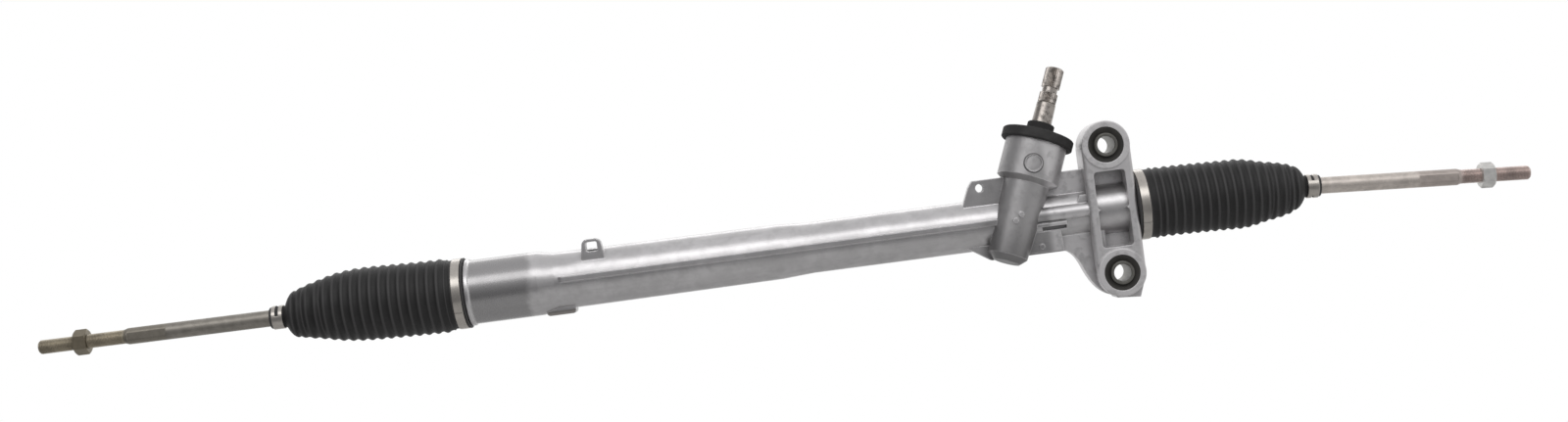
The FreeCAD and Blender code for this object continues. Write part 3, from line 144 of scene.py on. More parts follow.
class Finish:
    """A material or world under construction, on Object coordinates in metres."""

    def __init__(self, name, kind="materials"):
        self.material = getattr(bpy.data, kind).new(name)
        self.material.use_nodes = True
        self.tree = self.material.node_tree
        self.tree.nodes.clear()

    def node(self, kind, settings, inputs):
        """One node of a kind, with its settings first and then the values or links of its sockets."""
        made = self.tree.nodes.new(kind)
        for name, value in settings.items():
            setattr(made, name, value)
        for name, value in inputs.items():
            socket = made.inputs[name]
            if isinstance(value, Signal):
                self.tree.links.new(value.socket, socket)
            else:
                socket.default_value = value
        return made

    def place(self):
        """The point on the surface, in Object coordinates."""
        made = self.node("ShaderNodeTexCoord", {}, {})
        return Signal(self, made.outputs["Object"])

    def axes(self, where=None):
        """The three coordinates of a point, or else of the point on the surface."""
        made = self.node("ShaderNodeSeparateXYZ", {}, {"Vector": where or self.place()})
        return [Signal(self, made.outputs[axis]) for axis in "XYZ"]

    def stretched(self, scale):
        """The point on the surface with its axes stretched, for drawn or brushed patterns."""
        made = self.node("ShaderNodeMapping", {}, {"Vector": self.place(), "Scale": scale})
        return Signal(self, made.outputs["Vector"])

    def noise(self, per_metre, detail=3.0, rough=0.55, where=None):
        """Cloudy noise from 0 to 1 with a number of features per metre."""
        made = self.node("ShaderNodeTexNoise", {}, {
            "Vector": where or self.place(), "Scale": per_metre, "Detail": detail, "Roughness": rough})
        return Signal(self, made.outputs["Fac"])

    def cells(self, per_metre):
        """The distance to the middle of the nearest cell, from 0 up."""
        made = self.node("ShaderNodeTexVoronoi", {}, {"Vector": self.place(), "Scale": per_metre})
        return Signal(self, made.outputs["Distance"])

    def blend(self, mask, first, second):
        """A colour that goes from the first to the second with the mask."""
        made = self.node("ShaderNodeMix", {"data_type": "RGBA"}, {
            "Factor": mask, 6: colour(first), 7: colour(second)})
        return Signal(self, made.outputs[2])

    def layers(self, tone, *over):
        """A colour with others laid over it in order, each a pair of its mask and itself."""
        for mask, upper in over:
            tone = self.blend(mask, tone, upper)
        return tone

    def bump(self, height, depth, strength=1.0, edge=0.0):
        """A normal from a height of 0 to 1 that stands for a depth, with edges softened by a radius."""
        inputs = {"Height": height, "Distance": depth, "Strength": strength}
        if edge > 0:
            soft = self.node("ShaderNodeBevel", {"samples": 4}, {"Radius": edge})
            inputs["Normal"] = Signal(self, soft.outputs["Normal"])
        made = self.node("ShaderNodeBump", {}, inputs)
        return Signal(self, made.outputs["Normal"])

    def edges(self, radius):
        """1 on edges and fillets sharper than a radius and 0 on plain faces."""
        soft = self.node("ShaderNodeBevel", {"samples": 6}, {"Radius": radius})
        hard = self.node("ShaderNodeNewGeometry", {}, {})
        same = self.node("ShaderNodeVectorMath", {"operation": "DOT_PRODUCT"}, {
            0: Signal(self, soft.outputs["Normal"]), 1: Signal(self, hard.outputs["Normal"])})
        return (1.0 - Signal(self, same.outputs["Value"])).rise(0.01, 0.12)

    def crevices(self, reach):
        """1 deep in corners and 0 on open faces, within a reach."""
        made = self.node("ShaderNodeAmbientOcclusion", {"samples": 8, "only_local": True}, {"Distance": reach})
        return 1.0 - Signal(self, made.outputs["AO"])

    def ridges(self, low, high):
        """1 on the sharp crests of a finely divided mesh and 0 in its valleys."""
        made = self.node("ShaderNodeNewGeometry", {}, {})
        return Signal(self, made.outputs["Pointiness"]).rise(low, high)

    def surface(self, **inputs):
        """The finished surface, from the Principled shader's sockets by name."""
        named = {name.replace("_", " "): value for name, value in inputs.items()}
        shader = self.node("ShaderNodeBsdfPrincipled", {}, named)
        output = self.node("ShaderNodeOutputMaterial", {}, {})
        self.tree.links.new(shader.outputs[0], output.inputs["Surface"])
        return self.material


def colour(value):
    """A colour as the four numbers that a socket takes, or a signal as it is."""
    if isinstance(value, Signal):
        return value
    return (value[0], value[1], value[2], 1.0)


def shade(value, factor):
    """A colour made lighter or darker by a factor."""
    return tuple(min(1.0, channel * factor) for channel in tuple(value)[:3])


# Places on the housing that its finish follows. SADDLE and FOOT_PAD are an area's two ends along X, and any
# other pair is where a fade starts and ends.


BUSH_RECESS = 1.0 * MM
RING_EDGE = (21.0 * MM, 22.0 * MM)
SKIN_START = (-118.0 * MM, -104.0 * MM)
SKIN_RADIUS = (21.9 * MM, 22.3 * MM)
SADDLE = (-544.0 * MM, -494.5 * MM)
SADDLE_RAGGED = 16.0 * MM
# TOWER_END is where the tower's painted shade fades out along X
TOWER_END = (-58.0 * MM, -50.0 * MM)
# TOWER_FOOT is where the painted shade at the tower's foot fades out along the pinion's axis
TOWER_FOOT = (-45.0 * MM, 8.0 * MM)
TOWER_RADIUS = 26.0 * MM
FOOT_PAD = (-484.5 * MM, -458.5 * MM)
FOOT_PAD_TOP = (-25.6 * MM, -24.2 * MM)
# the colour of the painted shade on the pad under the tube
FOOT_PAD_SHADE_TONE = (0.26, 0.24, 0.22)
MARK_HEIGHT = 44.4 * MM
MARK_RADIUS = 7.7 * MM
MARK_BACK = (-18.0 * MM, -14.0 * MM)


def pinion_axis():
    """The pinion's direction, and the point on its axis that heights along it start from."""
    spin = JOINTS["pinion_spin"]
    return np.array(spin["axis"]), np.array(spin["pos_m"])


def boss_rings(x, y, z):
    """1 on the machined ring faces of the two bosses."""
    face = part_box("upper_bush_rubber")[0].y - BUSH_RECESS
    low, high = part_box("upper_bush_sleeve")
    from_bush = (x * x + (abs(z) - (low.z + high.z) / 2) ** 2.0) ** 0.5
    return (1.0 - y.rise(face + 0.1 * MM, face + 0.4 * MM)) * (1.0 - from_bush.rise(*RING_EDGE))


def foot_pad_shade(x, z):
    """1 on the pad under the tube, where shade is painted darker."""
    low, high = FOOT_PAD
    along = x.rise(low, low + 1.0 * MM) * (1.0 - x.rise(high - 1.0 * MM, high))
    return along * (1.0 - z.rise(*FOOT_PAD_TOP))


def mark_outline_shade(x, y, z):
    """1 on the thin line of painted shade round the bare round mark on the tower's front."""
    axis, origin = pinion_axis()
    front = np.array([0.0, -axis[2], axis[1]]) / math.hypot(axis[1], axis[2])
    centre = origin + axis * MARK_HEIGHT + front * TOWER_RADIUS
    across = (x - centre[0]) * (x - centre[0]) + (z - centre[2]) * (z - centre[2])
    line = abs(across ** 0.5 - (MARK_RADIUS + 0.2 * MM))
    return (1.0 - line.rise(0.25 * MM, 0.9 * MM)) * (1.0 - y.rise(*MARK_BACK))


# Finishes


def cast_aluminium(look):
    """Bare cast aluminium: flow marks on the tube, a sandy skin on tower and bracket, and machined faces.

    Edges and fillets are painted lighter as highlights, and corners and crevices darker as shade. The tower's
    skin is painted darker as shade, most at its foot, and so are the pad under the tube and a thin line round
    the bare round mark. The ring faces of the two bosses and the saddle are machined, and the saddle has fine
    turning marks round it.
    """
    finish = Finish("cast_aluminium")
    metal = look.aluminium
    x, y, z = finish.axes()
    grain = finish.noise(900.0, 4.0, 0.6)
    sand = finish.noise(330.0, 3.0, 0.6)
    mottle = finish.noise(125.0, 5.0, 0.62)
    clouds = finish.noise(34.0, 4.0, 0.55)
    flow = finish.noise(1.0, 3.0, 0.6, finish.stretched((14.0, 160.0, 160.0)))
    turning = finish.noise(1.0, 2.0, 0.5, finish.stretched((1500.0, 10.0, 10.0)))
    # edge: edges and fillets, painted lighter as highlights and made a little glossier
    edge = finish.edges(1.6 * MM)
    # corner: corners and crevices from ambient occlusion, painted darker as shade
    corner = finish.crevices(9.0 * MM).rise(0.12, 0.8)
    ring = boss_rings(x, y, z)
    skin = x.rise(*SKIN_START) * ((y * y + z * z) ** 0.5).rise(*SKIN_RADIUS)
    turned_end = (x + (clouds - 0.5) * SADDLE_RAGGED).rise(SADDLE[1] - 3.0 * MM, SADDLE[1] + 3.0 * MM)
    saddle = x.rise(SADDLE[0] - 0.4 * MM, SADDLE[0]) * (1.0 - turned_end)
    tower = skin * (1.0 - x.rise(*TOWER_END))
    axis, origin = pinion_axis()
    up_tower = x * axis[0] + y * axis[1] + z * axis[2] - float(np.dot(axis, origin))
    # painted shade: darker towards the tower's foot
    tower_foot_shade = tower * (1.0 - up_tower.rise(*TOWER_FOOT))
    tone = finish.layers(
        finish.blend(clouds.rise(0.3, 0.7), shade(metal, 0.9), shade(metal, 1.06)),
        (mottle.rise(0.42, 0.66) * 0.4, shade(metal, 0.75)),
        (flow.rise(0.45, 0.75) * 0.5, shade(metal, 0.8)),
        (skin * 0.5, shade(metal, 1.3)),
        (ring * 0.8, shade(metal, 1.15)),
        # painted shade: the tower's skin darker than the tube's
        (tower * 0.75, shade(metal, 0.52)),
        (skin * mottle.rise(0.5, 0.64) * 0.3, shade(metal, 0.45)),
        # painted shade at the tower's foot
        (tower_foot_shade * 0.75, shade(metal, 0.28)),
        # painted shade on the pad under the tube
        (foot_pad_shade(x, z) * 0.8, FOOT_PAD_SHADE_TONE),
        (saddle * 0.85, shade(metal, 0.53)),
        # painted shade in corners and crevices
        (corner * 0.75, shade(metal, 0.3)),
        # painted highlight along edges and fillets, outside the painted corner shade
        (edge * (1.0 - corner) * 0.7, shade(metal, 1.6)),
        # painted shade: a thin dark line round the mark
        (mark_outline_shade(x, y, z) * 0.8, shade(metal, 0.12)),
    )
    rough = look.aluminium_roughness + grain * 0.1 + mottle * 0.08 + skin * 0.13 - saddle * 0.03 + ring * 0.1
    height = grain * 0.4 + sand * (0.25 + skin) + mottle * (0.3 + skin * 1.2)
    height = height * (1.0 - ring * 0.85) * (1.0 - saddle * 0.85) + turning * saddle * 0.15
    return finish.surface(
        Base_Color=tone,
        Metallic=0.88,
        Roughness=rough - edge * 0.08,
        Normal=finish.bump(height, 0.16 * MM, 0.55, 1.4 * MM),
    )


def steel(name, tone, roughness, streak=(60.0, 900.0, 900.0), edge=0.3 * MM, stain=0.0):
    """Plain steel with faint streaks, a cloudy oxide tint, softened edges and, if asked, dark stains.

    The streak gives the streaks' features per metre along X, Y and Z.
    """
    finish = Finish(name)
    streaks = finish.noise(1.0, 3.0, 0.6, finish.stretched(streak))
    clouds = finish.noise(90.0, 4.0, 0.6)
    colour_now = finish.blend(clouds.rise(0.35, 0.7), shade(tone, 0.88), shade(tone, 1.06))
    if stain > 0:
        blotches = finish.noise(260.0, 4.0, 0.65)
        colour_now = finish.blend(blotches.rise(0.46, 0.62) * stain, colour_now, shade(tone, 0.3))
    return finish.surface(
        Base_Color=colour_now,
        Metallic=0.95,
        Roughness=roughness + streaks * 0.12 + clouds * 0.06,
        Normal=finish.bump(streaks, 0.01 * MM, 0.4, edge),
    )


def zinc_plate(name, tone, roughness):
    """Dull zinc plate on a nut or plug: mottled colour, fine draw marks and small darker specks."""
    finish = Finish(name)
    draw = finish.noise(1.0, 4.0, 0.6, finish.stretched((40.0, 1400.0, 1400.0)))
    mottle = finish.noise(150.0, 4.0, 0.65)
    specks = 1.0 - finish.cells(420.0).rise(0.05, 0.22)
    colour_now = finish.blend(mottle.rise(0.3, 0.7), shade(tone, 0.84), shade(tone, 1.1))
    colour_now = finish.blend(specks * 0.25, colour_now, shade(tone, 0.6))
    return finish.surface(
        Base_Color=colour_now,
        Metallic=0.8,
        Roughness=roughness + mottle * 0.12 + draw * 0.08,
        Normal=finish.bump(draw + mottle * 0.5, 0.02 * MM, 0.5, 0.3 * MM),
    )


def rod_zinc(side, tone, thread_tone, thread_start):
    """The rod's dull zinc plate, which turns to browned, oily steel on the thread."""
    finish = Finish(side + "_rod_zinc")
    x, y, z = finish.axes()
    draw = finish.noise(1.0, 4.0, 0.6, finish.stretched((40.0, 1400.0, 1400.0)))
    mottle = finish.noise(150.0, 4.0, 0.65)
    stain = finish.noise(45.0, 3.0, 0.6)
    start = abs(ball_centre(side)[0]) + math.cos(rod_droop(side)) * thread_start
    threaded = abs(x).rise(start - 2.0 * MM, start + 1.0 * MM)
    flats = abs(x).rise(start - (ROD_RELIEF + FLATS_TINT[0]), start - (ROD_RELIEF + FLATS_TINT[1]))
    plated = finish.layers(
        finish.blend(mottle.rise(0.3, 0.7), shade(tone, 0.84), shade(tone, 1.1)),
        (stain.rise(0.55, 0.75) * 0.5, shade(tone, 0.66)),
        (flats * 0.45, shade(thread_tone, 0.62)),
    )
    oiled = finish.blend(stain.rise(0.35, 0.65), shade(thread_tone, 0.8), shade(thread_tone, 1.15))
    return finish.surface(
        Base_Color=finish.blend(threaded, plated, oiled),
        Metallic=0.8,
        Roughness=0.34 + mottle * 0.12 + draw * 0.08 - threaded * 0.04,
        Normal=finish.bump(draw + mottle * 0.5, 0.02 * MM, 0.5),
    )


def moulded_rubber(name, tone, roughness, edge=0.0, sheen=0.42, crest=0.0):
    """Black moulded rubber with a satin skin, a fine grain, a dusty bloom and, if asked, crests painted lighter
    as highlights.
    """
    finish = Finish(name)
    grain = finish.noise(1500.0, 3.0, 0.6)
    bloom = finish.noise(70.0, 4.0, 0.6)
    colour_now = finish.blend(bloom.rise(0.35, 0.75), shade(tone, 0.85), shade(tone, 1.35))
    # painted highlight: the crests of a finely divided mesh made lighter by the crest factor
    if crest > 0:
        colour_now = finish.blend(finish.ridges(0.506, 0.53), colour_now, shade(tone, crest))
    return finish.surface(
        Base_Color=colour_now,
        Roughness=roughness + bloom * 0.1 + grain * 0.05,
        Specular_IOR_Level=sheen,
        Normal=finish.bump(grain, 0.03 * MM, 0.35, edge),
    )


def moulded_plastic(name, tone, roughness):
    """A plain moulded plastic with a slight orange-peel skin."""
    finish = Finish(name)
    peel = finish.noise(400.0, 2.0, 0.5)
    clouds = finish.noise(60.0, 2.0, 0.5)
    return finish.surface(
        Base_Color=finish.blend(clouds, shade(tone, 0.95), shade(tone, 1.05)),
        Roughness=roughness + peel * 0.08,
        Normal=finish.bump(peel, 0.02 * MM, 0.3, 0.3 * MM),
    )


def dress(material, *names):
    """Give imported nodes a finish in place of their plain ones."""
    for name in names:
        mesh = NODES[name].data
        mesh.materials.clear()
        mesh.materials.append(material)


# Mesh building


def grid_mesh(name, points, materials, closed_rows=False, capped=False, patch=None):
    """A mesh from a grid of points, rows by columns, whose columns always close on themselves.

    Closed rows join the last row to the first, and caps fill the first and last rows with a fan round their
    middle. A patch is a grid of flags: a face whose first corner's flag is set takes the second material.
    """
    rows, columns = points.shape[:2]
    row_count = rows if closed_rows else rows - 1
    row = np.arange(row_count)[:, None]
    column = np.arange(columns)[None, :]
    below = (row + 1) % rows
    beside = (column + 1) % columns
    quads = np.stack([
        row * columns + column, row * columns + beside,
        below * columns + beside, below * columns + column], axis=-1)
    faces = quads.reshape(-1, 4).tolist()
    corners = points.reshape(-1, 3)
    if capped:
        around = np.arange(columns)
        after = (around + 1) % columns
        last = (rows - 1) * columns
        start_fan = np.stack([np.full(columns, rows * columns), after, around], axis=-1)
        end_fan = np.stack([np.full(columns, rows * columns + 1), last + around, last + after], axis=-1)
        faces += start_fan.tolist() + end_fan.tolist()
        corners = np.concatenate([corners, [points[0].mean(axis=0), points[-1].mean(axis=0)]])
    mesh = bpy.data.meshes.new(name)
    mesh.from_pydata(corners.tolist(), [], faces)
    mesh.polygons.foreach_set("use_smooth", np.ones(len(mesh.polygons), dtype=bool))
    for material in materials:
        mesh.materials.append(material)
    if patch is not None:
        mesh.polygons.foreach_set("material_index", patch[:row_count].reshape(-1).astype(np.int32))
    mesh.update()
    piece = bpy.data.objects.new(name, mesh)
    bpy.context.scene.collection.objects.link(piece)
    return piece


# Places that the frame gives


def housing_end(side):
    """Where the housing's end face is along X."""
    low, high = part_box("rack_housing")
    return low.x if side == "left" else high.x


def ball_centre(side):
    """The centre of a side's ball joint."""
    return np.array(JOINTS[side + "_rod_rise"]["pos_m"])


def rod_direction(side):
    """The unit vector along a side's tie rod, outwards, at rest."""
    sweep = np.array(JOINTS[side + "_rod_sweep"]["axis"])
    return np.cross(np.array([0.0, 1.0, 0.0]), sweep) * SIDES[side]


def rod_droop(side):
    """How far a side's tie rod droops at rest, in radians."""
    return -math.asin(rod_direction(side)[2])


# The settings that a user would change


def length(name, description, default):
    """A property for a length, with its default in mm."""
    return bpy.props.FloatProperty(name=name, description=description, unit="LENGTH", default=default * MM)


def paint(name, description, default):
    """A property for a colour."""
    return bpy.props.FloatVectorProperty(name=name, description=description, subtype="COLOR", default=default)


class RackColours(bpy.types.PropertyGroup):
    """Colours and roughness of the finishes."""

    aluminium: paint("Aluminium", "Colour of the cast housing", (0.57, 0.558, 0.562))
    aluminium_roughness: bpy.props.FloatProperty(
        name="Aluminium roughness", description="Roughness of the cast skin", default=0.22, min=0.0, max=1.0)
    boot: paint("Boot rubber", "Colour of the boots", (0.0115, 0.0111, 0.0113))
    cover: paint("Dust cover", "Colour of the dust cover", (0.036, 0.035, 0.035))
    bush: paint("Bush rubber", "Colour of the bushes", (0.035, 0.033, 0.030))
    strip: paint("Clamp strip", "Colour of the clamps", (0.50, 0.47, 0.435))
    left_rod: paint("Left rod", "Colour of the left tie rod", (0.30, 0.28, 0.25))
    left_thread: paint("Left thread", "Colour of the left rod's thread", (0.36, 0.32, 0.25))
    left_nut: paint("Left nut", "Colour of the left jam nut", (0.22, 0.19, 0.14))
    right_rod: paint("Right rod", "Colour of the right tie rod", (0.62, 0.565, 0.52))
    right_thread: paint("Right thread", "Colour of the right rod's thread", (0.53, 0.44, 0.41))
    right_nut: paint("Right nut", "Colour of the right jam nut", (0.66, 0.65, 0.63))
    shaft: paint("Shaft steel", "Colour of the pinion shaft", (0.42, 0.385, 0.355))
    sleeve: paint("Sleeve steel", "Colour of the bush sleeves", (0.20, 0.195, 0.18))


class BootSizes(bpy.types.PropertyGroup):
    """Sizes of the pleated boots."""

    cuff_radius: length("Cuff radius", "Outside radius of the cuff", 29.2)
    lip: length("Lip", "How far the cuff's lips stand proud", 0.8)
    depth: length("Pleat depth", "Depth of a pleat", 1.5)
    wall: length("Wall", "Thickness of the rubber", 1.8)
    folds: bpy.props.IntProperty(name="Pleats", description="Number of pleats", default=16, min=4)
    left_first: length("Left first pleat", "Start of the left pleats from the housing", 0.2)
    right_first: length("Right first pleat", "Start of the right pleats from the housing", 1.9)
    dome: length("Dome", "Length of the plain dome before the neck", 9.6)
    left_neck: length("Left neck", "Start of the left neck from the ball's centre", 54.5)
    right_neck: length("Right neck", "Start of the right neck from the ball's centre", 44.5)
    left_sag: length("Left sag", "How far the left boot hangs below its line", -2.4)
    right_sag: length("Right sag", "How far the right boot hangs below its line", 1.8)
    neck_length: length("Neck length", "Length of the neck", 13.5)
    neck_radius: length("Neck radius", "Outside radius of the neck", 9.15)
    slide_folds: bpy.props.IntProperty(
        name="Sliding pleats", description="Pleats that take up the rack's travel", default=13)
    rise_folds: bpy.props.IntProperty(
        name="Rising pleats", description="Pleats that take up the rod's rise", default=2)


# Boots


CUFF_START = -17.0 * MM
CUFF_BORE = 26.03 * MM
NECK_BORE = 7.06 * MM
PLEAT_ROWS = 12
DOME_ROWS = 12
BOOT_COLUMNS = 112
ROUNDING = 1e-9

# Distances from the housing's end face, and the radii over the crests there, in mm
BOOT_CRESTS = {
    "left": ((65.0, 80.0, 95.0, 110.0, 121.0, 131.0), (31.6, 30.9, 28.9, 25.2, 22.7, 19.4)),
    "right": ((75.0, 85.0, 95.0, 105.0, 115.0, 122.0), (29.9, 28.1, 25.6, 24.0, 21.5, 17.0)),
}


def boot_profile(sizes, side):
    """Where a boot's neck and pleats start, the pleats' pitch, and the outline of the pleats and dome.

    The outline is distances from the housing's end face and outside radii. A pleat's height over its valley is
    the depth times ((1 - cos 2 pi u) / 2)^1.4, with u from 0 to 1 along the pleat, so its crest is narrower than
    its valley. The radius over the crests runs straight between the points of BOOT_CRESTS, and the depth falls
    with it. The dome's radius goes from the last crest's to the neck's with 1 - t^2, t being the share of its
    length, less a last valley's depth times (1 - 6 t)^2.
    """
    ball = abs(ball_centre(side)[0] - housing_end(side))
    neck = ball + getattr(sizes, side + "_neck")
    first = getattr(sizes, side + "_first")
    pitch = (neck - sizes.dome - first) / sizes.folds
    u = np.arange(PLEAT_ROWS * sizes.folds + 1) / PLEAT_ROWS
    place = first + pitch * u
    crest_place, crest_radius = np.array(BOOT_CRESTS[side]) * MM
    crest = np.interp(place, crest_place, crest_radius)
    depth = sizes.depth * crest / crest_radius[0]
    radius = crest - depth * (1 - (0.5 - 0.5 * np.cos(2 * np.pi * u)) ** 1.4)
    t = np.arange(1, DOME_ROWS + 1) / (DOME_ROWS + 1)
    dome = sizes.neck_radius + (crest[-1] - sizes.neck_radius) * (1 - t ** 2)
    dome = dome - depth[-1] * np.maximum(0.0, 1 - 6 * t) ** 2
    outline = np.array([
        np.concatenate([place, place[-1] + sizes.dome * t]),
        np.concatenate([radius, dome])])
    return neck, first, pitch, outline


def cuff_outline(sizes, side, pleats_start):
    """Distances from the housing's end face and outside radii along a cuff, with lips beside its clamp."""
    band_low, band_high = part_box(side + "_large_clamp")
    centre = SIDES[side] * ((band_low.x + band_high.x) / 2 - housing_end(side))
    half = (band_high.x - band_low.x) / 2
    lip = sizes.cuff_radius + sizes.lip
    return np.array([
        (CUFF_START, lip - 0.5 * MM),
        (CUFF_START + 0.5 * MM, lip),
        (centre - half - 0.9 * MM, lip),
        (centre - half - 0.3 * MM, lip - 0.3 * MM),
        (centre - half, sizes.cuff_radius),
        (centre + half, sizes.cuff_radius),
        (centre + half + 0.3 * MM, lip - 0.3 * MM),
        (centre + half + 0.9 * MM, lip - 0.5 * MM),
        (centre + half + 2.0 * MM, lip - 1.0 * MM),
        (pleats_start - 3.2 * MM, lip - 0.8 * MM),
        (pleats_start - 2.2 * MM, lip + 0.2 * MM),
        (pleats_start - 1.2 * MM, lip - 0.3 * MM),
    ]).T


def neck_outline(sizes, neck, neck_end):
    """Distances from the housing's end face and outside radii along a boot's neck."""
    return np.array([
        (neck, sizes.neck_radius + 0.25 * MM),
        (neck + 0.4 * MM, sizes.neck_radius),
        (neck_end - 0.4 * MM, sizes.neck_radius),
        (neck_end, sizes.neck_radius - 0.4 * MM),
    ]).T


def bent_rings(side, ball, half, sag, place, radius, segments):
    """Rings of points round a line that bends evenly from the housing's axis to the rod's axis.

    The line's slope goes from 0 to the droop with u^2 (3 - 2 u), u being the share of the way through the bend.
    Its drop is that slope's integral, u^3 - u^4 / 2, and the sag times 6.75 s^2 (1 - s), which is 1 at its most,
    s being the share of the way from the housing to the neck. A ring is radius (0, cos a, sin a), tilted by the
    slope.
    """
    droop = rod_droop(side)
    u = np.clip((place - ball + half) / (2 * half), 0.0, 1.0)
    slope = droop * u ** 2 * (3 - 2 * u)
    drop = droop * 2 * half * (u ** 3 - u ** 4 / 2)
    drop = np.where(place > ball + half, droop * (place - ball), drop)
    share = np.clip(place / (ball + half), 0.0, 1.0)
    drop = drop + sag * 6.75 * share ** 2 * (1 - share)
    angle = np.linspace(0.0, 2 * np.pi, segments, endpoint=False)[None, :]
    across = radius[:, None] * np.cos(angle)
    up = radius[:, None] * np.sin(angle)
    out = place[:, None] + up * np.sin(slope)[:, None]
    x = housing_end(side) + SIDES[side] * out
    y = SIDES[side] * across + 0 * out
    z = up * np.cos(slope)[:, None] - drop[:, None]
    return np.stack([x, y, z], axis=-1)


def boot_piece(name, side, sizes, rubber, outer, inner, start, end):
    """One stretch of a boot as a closed shell round its bent line, from start to end."""
    ball = abs(ball_centre(side)[0] - housing_end(side))
    line = (side, ball, getattr(sizes, side + "_neck"), getattr(sizes, side + "_sag"))
    loop = np.hstack([outer, inner[:, ::-1]])
    piece = grid_mesh(name, bent_rings(*line, *loop, BOOT_COLUMNS), [rubber], closed_rows=True)
    ends = bent_rings(*line, np.array([start, end]), np.array([0.0, 0.0]), 3)
    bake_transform(piece)
    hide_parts(side + "_boot")


class RACK_OT_boots(bpy.types.Operator):
    """Make the pleated boots, each in three stretches for the slide, the rise and the sweep of its rod"""

    bl_idname = "rack.boots"
    bl_label = "Boots"

    def execute(self, context):
        sizes = context.scene.rack_boots
        # crest=3.6 paints highlights on the pleats' crests
        rubber = moulded_rubber("boot_rubber", context.scene.rack_colours.boot, 0.52, crest=3.6)
        for side in SIDES:
            neck, start, pitch, outer = boot_profile(sizes, side)
            neck_end = neck + sizes.neck_length
            slide_end = start + pitch * sizes.slide_folds
            rise_end = slide_end + pitch * sizes.rise_folds
            place, radius = outer
            inner = np.array([place, np.maximum(radius - sizes.wall, NECK_BORE)])
            sliding = place <= slide_end + ROUNDING
            rising = (place >= slide_end - ROUNDING) & (place <= rise_end + ROUNDING)
            sweeping = place >= rise_end - ROUNDING
            boot_piece(
                side + "_boot_slide", side, sizes, rubber,
                np.hstack([cuff_outline(sizes, side, start), outer[:, sliding]]),
                np.hstack([[[CUFF_START, 0.0], [CUFF_BORE, CUFF_BORE]], inner[:, sliding]]),
                0.0, slide_end)
            boot_piece(
                side + "_boot_rise", side, sizes, rubber,
                outer[:, rising], inner[:, rising],
                slide_end, rise_end)
            boot_piece(
                side + "_boot_sweep", side, sizes, rubber,
                np.hstack([outer[:, sweeping], neck_outline(sizes, neck, neck_end)]),
                np.hstack([inner[:, sweeping], [[neck, neck_end], [NECK_BORE, NECK_BORE]]]),
                rise_end, neck)
        return {"FINISHED"}


# Tie rods


class RodSizes(bpy.types.PropertyGroup):
    """Sizes of the tie rods, with lengths along the rod from its ball's centre."""

    ball_radius: length("Ball radius", "Radius of the ball", 13.0)
    neck_radius: length("Neck radius", "Radius of the neck behind the ball", 6.0)
    radius: length("Rod radius", "Radius of the plain rod", 7.0)
    flats_across: length("Across flats", "Width over the two flats", 12.4)
    flats_length: length("Length of flats", "Length of the flats", 33.0)
    left_shank: length("Left shank", "Where the left rod's flats start", 157.0)
    right_shank: length("Right shank", "Where the right rod's flats start", 142.0)
    left_thread: length("Left thread", "Length of the left rod's thread", 73.5)
    right_thread: length("Right thread", "Length of the right rod's thread", 59.0)
    thread_radius: length("Thread radius", "Radius over the thread", 6.0)
    thread_pitch: length("Thread pitch", "Pitch of the thread", 1.25)


# The taper is where it starts and ends from the ball's centre, the flats' tint is where it starts and is full
# back from the relief, and the thread's depth is in pitches.
ROD_RELIEF = 3.0 * MM
ROD_CHAMFER = 1.5 * MM
ROD_TAPER = (22.0 * MM, 26.0 * MM)
FLATS_TINT = (36.0 * MM, 31.0 * MM)
ROD_COLUMNS = 72
BALL_ROWS = 18
THREAD_ROWS = 8
THREAD_DEPTH = 0.613


def rod_marks(sizes, side):
    """Where a rod's flats start and end, where its thread starts and where its tip is."""
    flats = getattr(sizes, side + "_shank")
    thread = flats + sizes.flats_length + ROD_RELIEF
    return flats, flats + sizes.flats_length, thread, thread + getattr(sizes, side + "_thread")


def axis_frame(side, outward=1.0):
    """Unit vectors of a side's rod at rest: along it, outwards or inwards, and two across it, right-handed."""
    ahead = rod_direction(side) * outward
    across = np.array([0.0, -1.0 if ahead[0] < 0 else 1.0, 0.0])
    return ahead, across, np.cross(ahead, across)


